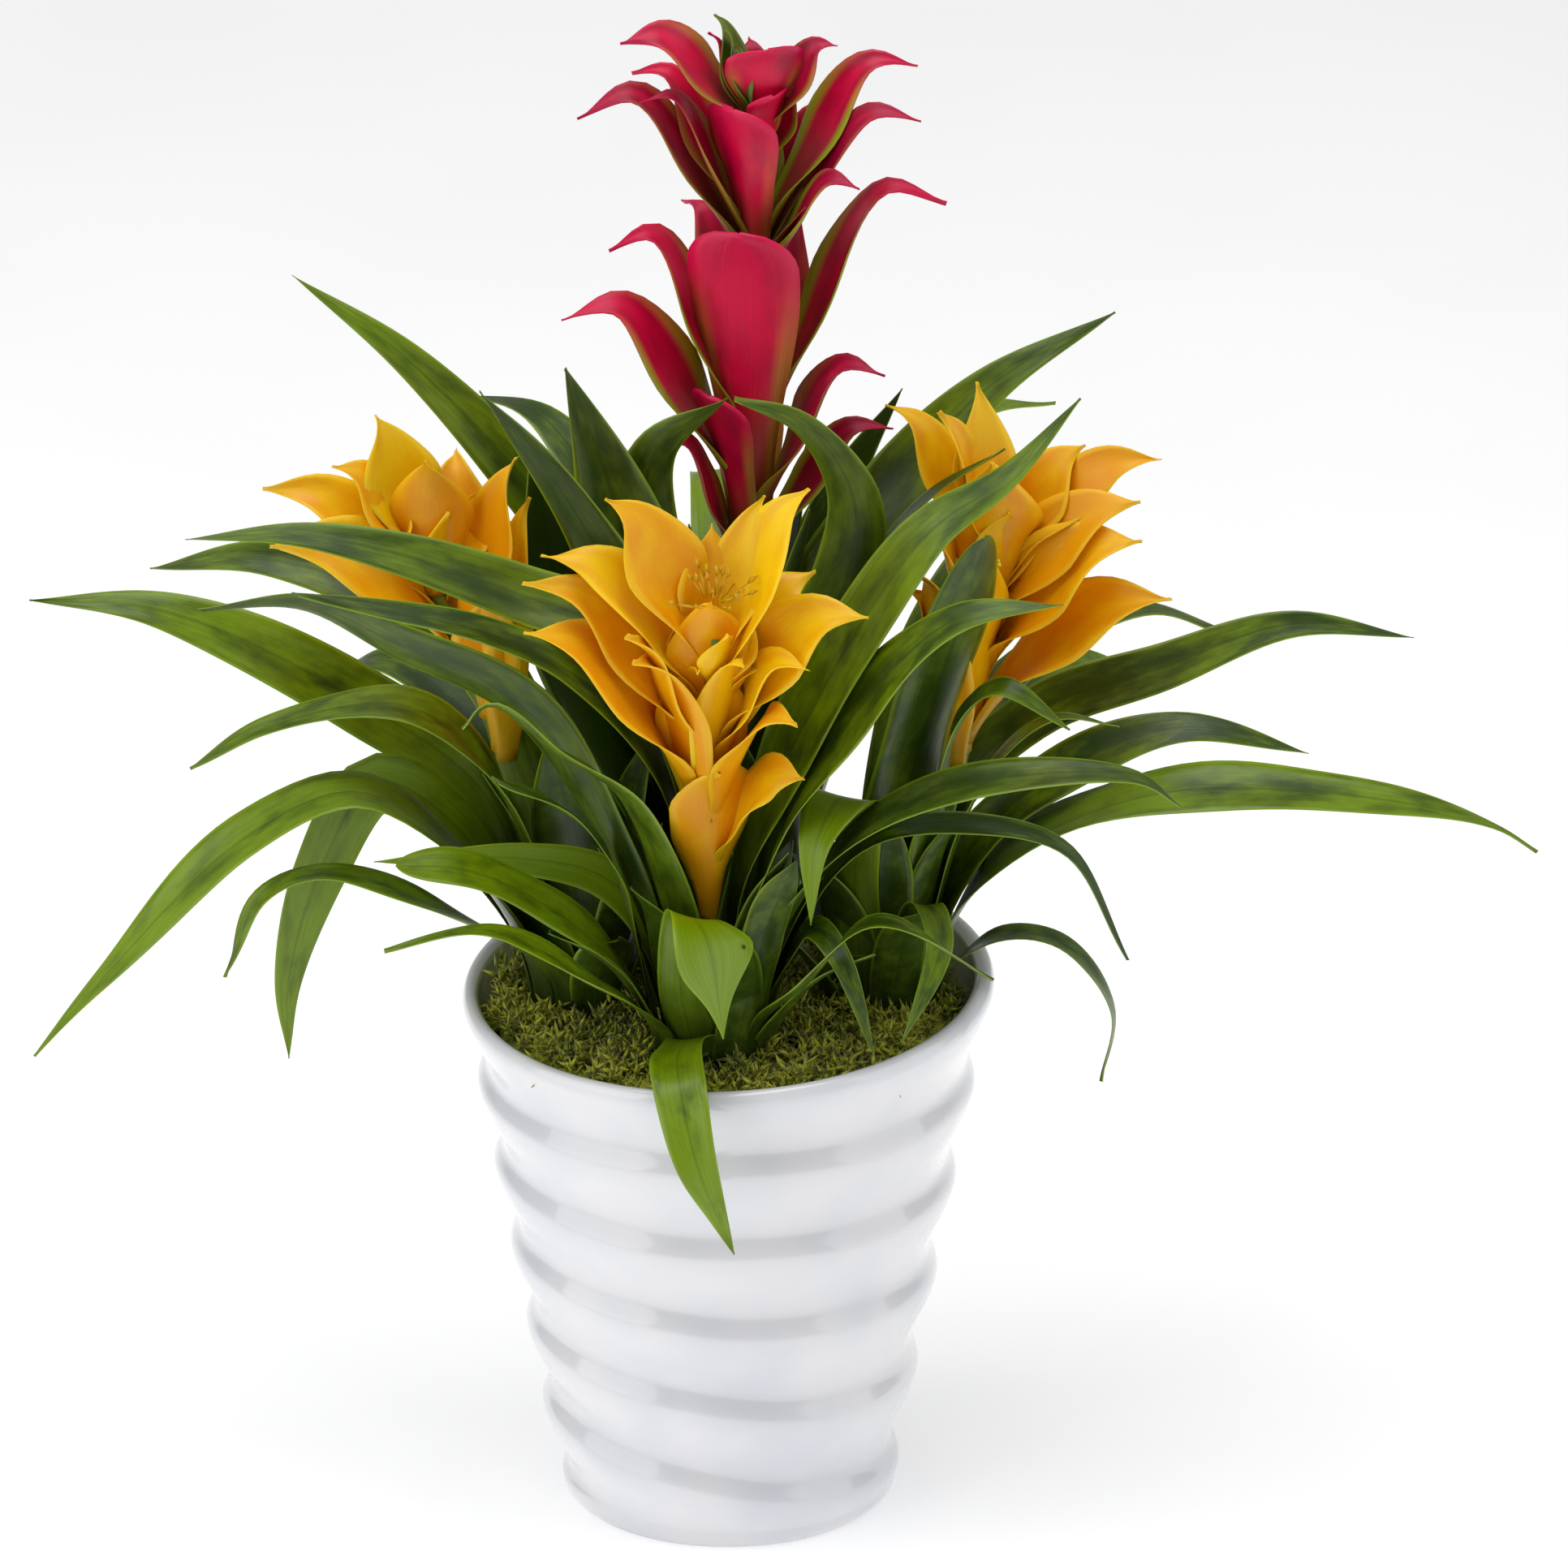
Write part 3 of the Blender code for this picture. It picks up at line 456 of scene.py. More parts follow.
def vase_tree():
    tree, keys, size, _ = new_tree("ridged_vase", VASE_SIZES)

    def add(*terms):
        total = terms[0]
        for term in terms[1:]:
            total = plus(tree, total, term)
        return total

    def mul(a, b):
        return times(tree, a, b)

    def cos(turn):
        return maths(tree, "COSINE", turn)

    def sin(turn):
        return maths(tree, "SINE", turn)

    def sub(a, b):
        return maths(tree, "SUBTRACT", a, b)

    def share(value, low, high):
        return add_node(tree, "ShaderNodeMapRange", 0, {0: value, 1: low, 2: high})

    rows = sum(count for _, count in OUTLINE)
    grid = tree.nodes.new("GeometryNodeMeshGrid")
    for key, value in (("Size X", 1.0), ("Size Y", 1.0), ("Vertices X", AROUND + 1),
                       ("Vertices Y", rows + 1)):
        grid.inputs[key].default_value = value
    split = tree.nodes.new("ShaderNodeSeparateXYZ")
    tree.links.new(add_node(tree, "GeometryNodeInputPosition"), split.inputs[0])
    angle = mul(add(split.outputs[0], 0.5), 2.0 * math.pi)
    walk = mul(add(split.outputs[1], 0.5), float(rows))
    step, end, start = {}, {}, 0.0
    for label, count in OUTLINE:
        end[label] = start + count
        step[label] = share(walk, start, end[label])
        start = end[label]
    cosine, sine = cos(angle), sin(angle)
    rim = add(size["Height"], mul(size["Tilt right"], cosine), mul(size["Tilt back"], sine))
    slope = maths(tree, "DIVIDE", sub(size["Rim radius"], size["Foot wall radius"]),
                  size["Height"])
    quarter = math.pi / 2.0

    def leaning_wall(z):
        return add(size["Foot wall radius"], mul(slope, z))

    def outer_radius(z):
        round_wall = add_node(tree, "ShaderNodeCombineXYZ", 0,
                              {0: cosine, 1: sine, 2: mul(z, WOBBLE_RATE)})
        wobble = noise(tree, round_wall, 1.3, 1.0)
        level = add(z, mul(sub(wobble, 0.5), WOBBLE))
        pitch = mul(size["Pitch"], add(mul(size["Ridge sway"], cosine), 1.0))
        turns = maths(tree, "DIVIDE", sub(mul(size["Height"], FIRST_RIDGE), level), pitch)
        phase = maths(tree, "FRACT", turns)
        fall = cos(mul(share(phase, 0.0, FALL_SHARE), math.pi))
        climb = cos(mul(share(phase, FALL_SHARE, 1.0), math.pi))
        return add(leaning_wall(z), mul(mul(size["Ridge depth"], 0.5), sub(fall, climb)))

    low_lip = sub(rim, LIP_DROP)
    z_out = add(FOOT_RISE, mul(step["outside"], sub(low_lip, FOOT_RISE)))
    r_out = outer_radius(z_out)
    foot_turn = mul(step["foot"], quarter)
    r_foot = sub(outer_radius(FOOT_RISE), size["Foot radius"])
    z_foot = mul(sub(1.0, cos(foot_turn)), FOOT_RISE)
    floor_top = add(size["Floor"], FILLET_DOWN)

    def inside_wall(z):
        return sub(sub(leaning_wall(z), size["Ridge depth"]), size["Wall"])

    z_in = sub(low_lip, mul(step["inside"], sub(low_lip, floor_top)))
    lip_inner = sub(size["Rim radius"], LIP_INSET)
    near_lip = share(z_in, sub(rim, LIP_DEPTH), low_lip)
    near_lip = mul(mul(near_lip, near_lip), sub(lip_inner, inside_wall(low_lip)))
    r_in = add(inside_wall(z_in), near_lip)
    lip_turn = mul(step["lip"], math.pi)
    lip_wide = mul(sub(outer_radius(low_lip), lip_inner), 0.5)
    lip_in = mul(sub(cos(lip_turn), 1.0), lip_wide)
    lip_up = mul(sin(lip_turn), LIP_DROP)
    turn = mul(step["fillet"], quarter)
    fillet_in = mul(sub(1.0, cos(turn)), FILLET_IN)
    fillet_down = mul(sin(turn), FILLET_DOWN)
    floor_r = sub(inside_wall(floor_top), FILLET_IN)

    def before(row):
        return maths(tree, "LESS_THAN", walk, row)

    before_outside = before(end["foot"])
    on_wall = before(end["outside"] + JUST_OVER)
    on_lip = before(end["lip"] + JUST_OVER)

    def choose(test, yes, no):
        return add_node(tree, "GeometryNodeSwitch", 0, {0: test, 1: no, 2: yes},
                        input_type="FLOAT")

    r_low = add(mul(step["under"], size["Foot radius"]),
                mul(sin(foot_turn), r_foot))
    r_tail = sub(sub(r_in, fillet_in), mul(step["floor"], floor_r))
    r_lip = add(outer_radius(low_lip), lip_in)
    z_lip = add(low_lip, lip_up)
    z_tail = sub(z_in, fillet_down)

    def along_outline(low, wall, lip, tail):
        return choose(before_outside, low, choose(on_wall, wall, choose(on_lip, lip, tail)))

    radius = along_outline(r_low, r_out, r_lip, r_tail)
    height = along_outline(z_foot, z_out, z_lip, z_tail)
    place = add_node(tree, "ShaderNodeCombineXYZ", 0,
                     {0: mul(radius, cosine), 1: mul(radius, sine), 2: height})
    shaped = add_node(tree, "GeometryNodeSetPosition", 0,
                      {"Geometry": grid.outputs[0], "Position": place})
    welded = add_node(tree, "GeometryNodeMergeByDistance", 0,
                      {"Geometry": shaped, "Distance": 0.00002})
    smooth_faces = add_node(tree, "GeometryNodeSetShadeSmooth", 0, {"Geometry": welded})
    finish_tree(tree, smooth_faces, GLAZE)
    return tree, keys


tree, keys = vase_tree()
print("vase tree has", len(tree.nodes), "nodes")

# %% [markdown]
# Now the tree is run with the drawing's sizes. The result is welded along the seam of
# the grid and under the foot, so it is one closed skin, which is counted here.

# %% Run the vase tree
sizes = (VASE_HEIGHT, RIM_RADIUS, FOOT_RADIUS, FOOT_WALL_RADIUS, PITCH, RIDGE_DEPTH,
         RIDGE_SWAY / MM, RIM_TILT[0], RIM_TILT[1], WALL, FLOOR)
values = {keys[label]: size * MM for (label, _), size in zip(VASE_SIZES, sizes)}
vase = bake_tree("ridged_vase", bpy.data.meshes.new("base"), tree, values)


def face_outwards(piece):
    bm = bmesh.new()
    bm.from_mesh(piece.data)
    bmesh.ops.recalc_face_normals(bm, faces=bm.faces)
    open_edges = sum(1 for edge in bm.edges if not edge.is_manifold)
    bm.to_mesh(piece.data)
    bm.free()
    return open_edges


print("vase open edges", face_outwards(vase), "faces", len(vase.data.polygons))
dress(vase, "vase")

# %% [markdown]
# Under the plants lies potting soil, and over it a blanket of moss that dips a little
# where each plant stands in it. Both are discs of rings whose height follows a small
# formula. A dense ring mesh is enough here, since the sprigs come after.

# %% The soil and the blanket of moss
DISC_SIDES = 120
GAP = 0.6
MOSS_RINGS = 46


def moss_height(x, y):
    swell = (math.sin(x * 0.21 + 0.6) * math.cos(y * 0.19)
             + 0.6 * math.sin(x * 0.47 - y * 0.39))
    fine = 0.8 * math.sin(x * 0.83 + 1.7 * math.cos(y * 0.61)) * math.cos(y * 0.71)
    top = SEAT + MOSS_DEPTH - 1.5 + MOSS_BUMP * 0.6 * swell + fine
    for cx, cy in CROWNS.values():
        near = math.hypot(x - cx, y - cy)
        top = min(top, SEAT + 4.0 + 14.0 * smooth((near - 9.0) / 20.0))
    return top


def disc(name, rings, top, material):
    """A closed disc: rings of (radius, z), the last one rising to a middle point."""
    bm = bmesh.new()
    loops = []
    for radius, z in rings:
        loop = []
        for k in range(DISC_SIDES):
            angle = 2 * math.pi * k / DISC_SIDES
            x, y = radius * math.cos(angle), radius * math.sin(angle)
            height = top(x, y) if z is None else z
            loop.append(bm.verts.new((x * MM, y * MM, height * MM)))
        loops.append(loop)
    bridge(bm, loops)
    middle = bm.verts.new((0, 0, top(0, 0) * MM))
    low = bm.verts.new((0, 0, rings[0][1] * MM))
    for k in range(DISC_SIDES):
        bm.faces.new((loops[-1][k], loops[-1][(k + 1) % DISC_SIDES], middle))
        bm.faces.new((loops[0][(k + 1) % DISC_SIDES], loops[0][k], low))
    return add_piece(name, bm, material)


def soil_top(x, y):
    return SOIL_TOP - 0.6 + 0.4 * math.sin(x * 0.9) * math.cos(y * 0.8)


edge = inner_radius(SOIL_TOP) - 0.8
soil_rings = [(inner_radius(FLOOR) - 8.5, FLOOR + 0.3),
              (inner_radius(FLOOR + 6) - GAP, FLOOR + 6.4),
              (inner_radius(SOIL_TOP * 0.5) - GAP, SOIL_TOP * 0.5), (edge, SOIL_TOP - 1.5)]
soil_rings += [(edge * f, None) for f in (0.97, 0.9, 0.8, 0.7, 0.6, 0.5, 0.4, 0.3, 0.2, 0.1)]
soil = disc("potting_soil", soil_rings, soil_top, SOIL)
shoulder = inner_radius(SOIL_TOP + MOSS_DEPTH * 0.7) - GAP
moss_rings = [(edge, SEAT), (shoulder - 0.3, SEAT + MOSS_DEPTH * 0.55)]
moss_rings += [(shoulder * (1.0 - k / MOSS_RINGS) - 1.0, None)
               for k in range(1, MOSS_RINGS - 1)]
blanket = disc("moss_blanket", moss_rings, moss_height, MOSS)
dress(soil, "soil")
dress(blanket, "moss")
print("soil and moss", len(soil.data.polygons), len(blanket.data.polygons), "faces")

# %% [markdown]
# A moss cushion is thousands of tiny sprigs. One sprig is a stem with a few pointed
# leaflets, a few dozen faces in all, and Geometry Nodes scatters copies of it over the
# blanket: random spots from a fixed seed, each copy leaning with the ground and turned
# and sized at random. Realize Instances makes one real mesh of them.

# %% A tree that scatters sprigs
THREE_WAYS = (0.0, 2.094, 4.189)
FULL_TURN = 6.283
SPRIG_FACES = 48


def spindle(bm, start, end, width):
    """A slim closed leaflet with three sides."""
    start, end = Vector(start), Vector(end)
    along = (end - start).normalized()
    right = along.orthogonal().normalized()
    ahead = along.cross(right)
    middle = start.lerp(end, 0.4)
    ring = [bm.verts.new(middle + (right * math.cos(a) + ahead * math.sin(a)) * width)
            for a in THREE_WAYS]
    low, high = bm.verts.new(start), bm.verts.new(end)
    for k in range(3):
        bm.faces.new((low, ring[(k + 1) % 3], ring[k]))
        bm.faces.new((high, ring[k], ring[(k + 1) % 3]))


def sprig(seed):
    rnd = random.Random(seed)
    bm = bmesh.new()
    spindle(bm, (0, 0, -0.001), (0.0004, 0.0002, 0.0052), 0.0004)
    for k in range(7):
        turn = k * 2.4 + rnd.uniform(-0.3, 0.3)
        low = 0.0002 + 0.0006 * k
        out = rnd.uniform(0.0018, 0.0030)
        rise = rnd.uniform(0.0012, 0.0026)
        tip = (out * math.cos(turn), out * math.sin(turn), low + rise)
        spindle(bm, (0, 0, low), tip, 0.00045)
    return bm


def scatter_tree(name, material):
    tree, keys, size, ground = new_tree(name, [
        ("Sprig", "NodeSocketObject"), ("Density", "NodeSocketFloat"),
        ("Smallest", "NodeSocketFloat"), ("Largest", "NodeSocketFloat"),
        ("Lean", "NodeSocketFloat"), ("Seed", "NodeSocketInt"), ("Steepest", "NodeSocketFloat")])
    normal = tree.nodes.new("ShaderNodeSeparateXYZ")
    tree.links.new(add_node(tree, "GeometryNodeInputNormal"), normal.inputs[0])
    facing_up = maths(tree, "GREATER_THAN", normal.outputs[2], size["Steepest"])
    spots = tree.nodes.new("GeometryNodeDistributePointsOnFaces")
    for key, value in (("Mesh", ground), ("Density", size["Density"]), ("Seed", size["Seed"]),
                       ("Selection", facing_up)):
        tree.links.new(value, spots.inputs[key])
    lean = add_node(tree, "ShaderNodeCombineXYZ", 0,
                    {0: size["Lean"], 1: size["Lean"], 2: FULL_TURN})
    back = add_node(tree, "ShaderNodeVectorMath", 0, {0: lean, 1: (-1.0, -1.0, 0.0)},
                    operation="MULTIPLY")
    spin = add_node(tree, "FunctionNodeRandomValue", 0,
                    {"Min": back, "Max": lean, "Seed": size["Seed"]},
                    data_type="FLOAT_VECTOR")
    grow = add_node(tree, "FunctionNodeRandomValue", 1,
                    {2: size["Smallest"], 3: size["Largest"], "Seed": 11})
    copy = add_node(tree, "GeometryNodeObjectInfo", 4, {"Object": size["Sprig"]})
    turned = add_node(tree, "FunctionNodeRotateRotation", 0,
                      {0: spots.outputs["Rotation"],
                       1: add_node(tree, "FunctionNodeEulerToRotation", 0, {0: spin})},
                      rotation_space="LOCAL")
    placed = add_node(tree, "GeometryNodeInstanceOnPoints", 0,
                      {"Points": spots.outputs[0], "Instance": copy,
                       "Rotation": turned, "Scale": grow})
    finish_tree(tree, placed, material)
    return tree, keys


scatter, keys = scatter_tree("scatter_sprigs", MOSS)
print("scatter tree has", len(scatter.nodes), "nodes")

# %% [markdown]
# The tree is run on a copy of the blanket. The sprigs stand close enough to hide it,
# and the one sprig they were copied from is thrown away.

# %% Scatter the sprigs
sprig_object = add_piece("sprig", sprig(5), MOSS)
sprigs = bake_tree("moss_sprigs", blanket.data.copy(), scatter, {
    keys["Sprig"]: sprig_object, keys["Density"]: 78000.0, keys["Smallest"]: 1.0,
    keys["Largest"]: 2.1, keys["Lean"]: 0.7, keys["Seed"]: 3, keys["Steepest"]: 0.35})
dress(sprigs, "moss")
bpy.data.objects.remove(sprig_object, do_unlink=True)
print("sprigs", len(sprigs.data.polygons) // SPRIG_FACES, "faces", len(sprigs.data.polygons))

# %% [markdown]
# Every leaf and every bract is the same thing at a different size: a strap that follows
# a curve, curls across its width and thins to its margins. The curve runs smoothly
# through a few waypoints, and a frame is carried along it without twisting, so a roll
# can then be added on purpose.

# %% A strap that follows a curve
STEPS_A_SPAN = 24
NEARBY = 1.5
COLUMNS = 8
CROWDING = 1.35


def spline(points, fractions, start_pull):
    """Centripetal Catmull-Rom curve through the points, read at the given fractions."""
    knots = [Vector(p) for p in points]
    ctrl = [knots[0] - Vector(start_pull)] + knots + [knots[-1] * 2.0 - knots[-2]]
    dense = []
    for i in range(1, len(ctrl) - 2):
        p0, p1, p2, p3 = ctrl[i - 1:i + 3]
        t0 = 0.0
        t1 = t0 + (p1 - p0).length ** 0.5
        t2 = t1 + (p2 - p1).length ** 0.5
        t3 = t2 + (p3 - p2).length ** 0.5
        for k in range(STEPS_A_SPAN):
            t = t1 + (t2 - t1) * k / STEPS_A_SPAN
            a1 = p0 * ((t1 - t) / (t1 - t0)) + p1 * ((t - t0) / (t1 - t0))
            a2 = p1 * ((t2 - t) / (t2 - t1)) + p2 * ((t - t1) / (t2 - t1))
            a3 = p2 * ((t3 - t) / (t3 - t2)) + p3 * ((t - t2) / (t3 - t2))
            b1 = a1 * ((t2 - t) / (t2 - t0)) + a2 * ((t - t0) / (t2 - t0))
            b2 = a2 * ((t3 - t) / (t3 - t1)) + a3 * ((t - t1) / (t3 - t1))
            dense.append(b1 * ((t2 - t) / (t2 - t1)) + b2 * ((t - t1) / (t2 - t1)))
    dense.append(knots[-1])
    spots = np.array([tuple(p) for p in dense])
    reach = np.concatenate(([0.0], np.cumsum(np.linalg.norm(np.diff(spots, axis=0), axis=1))))
    wanted = np.array(fractions) * reach[-1]

    def read(distance):
        return np.stack([np.interp(distance, reach, spots[:, k]) for k in range(3)], axis=1)

    return [(Vector(p), (Vector(a) - Vector(b)).normalized())
            for p, a, b in zip(read(wanted), read(wanted + NEARBY), read(wanted - NEARBY))]


def stations(count):
    """Even steps along a strap that crowd together towards its tip."""
    return [1.0 - (1.0 - k / (count - 1)) ** CROWDING for k in range(count)]


def strap(name, frames, side, look, material):
    """look.at(t) gives width, half arc, roll and edge wave, all in mm or radians."""
    bm = bmesh.new()
    uv_layer = bm.loops.layers.uv.new("strap")
    marks = {key: bm.verts.layers.float.new(key) for key in ("under", "tone", "grey")}
    places = {}
    rings = []
    for (centre, tangent), t in zip(frames, look.steps):
        width, arc, roll, wave = look.at(t)
        side = (side - tangent * side.dot(tangent)).normalized()
        turned = Quaternion(tangent, roll) @ side
        normal = tangent.cross(turned)
        ring = []
        for face_side in (1.0, -1.0):
            for k in range(COLUMNS + 1):
                u = (1.0 - 2.0 * k / COLUMNS) * face_side
                bend = arc * u
                x = 0.5 * width * math.sin(bend) / arc
                y = 0.5 * width * (1.0 - math.cos(bend)) / arc + wave * u * abs(u)
                y += look.ripple(t, u)
                out = normal * math.cos(bend) - turned * math.sin(bend)
                thick = look.rim + (look.thick - look.rim) * (1.0 - u * u)
                spot = centre + turned * x + normal * y + out * (0.5 * thick * face_side)
                vert = bm.verts.new(spot * MM)
                vert[marks["under"]] = 0.0 if face_side > 0 else 1.0
                vert[marks["tone"]] = look.tone
                vert[marks["grey"]] = look.grey
                places[vert] = (0.5 + 0.5 * u, t)
                ring.append(vert)
        rings.append(ring)
    bridge(bm, rings)
    last = 2 * COLUMNS + 1
    for ring in (rings[0], rings[-1]):
        for k in range(COLUMNS):
            bm.faces.new((ring[k], ring[k + 1], ring[last - 1 - k], ring[last - k]))
    map_strap(bm, uv_layer, places)
    return add_piece(name, bm, material)


class Look:
    """The measures of one strap: at(t) shapes it, ripple(t, u) ruffles it."""

    def __init__(self, steps, thick, rim, tone, grey, at, ripple):
        self.steps, self.thick, self.rim = steps, thick, rim
        self.tone, self.grey, self.at, self.ripple = tone, grey, at, ripple


print("strap maker ready")
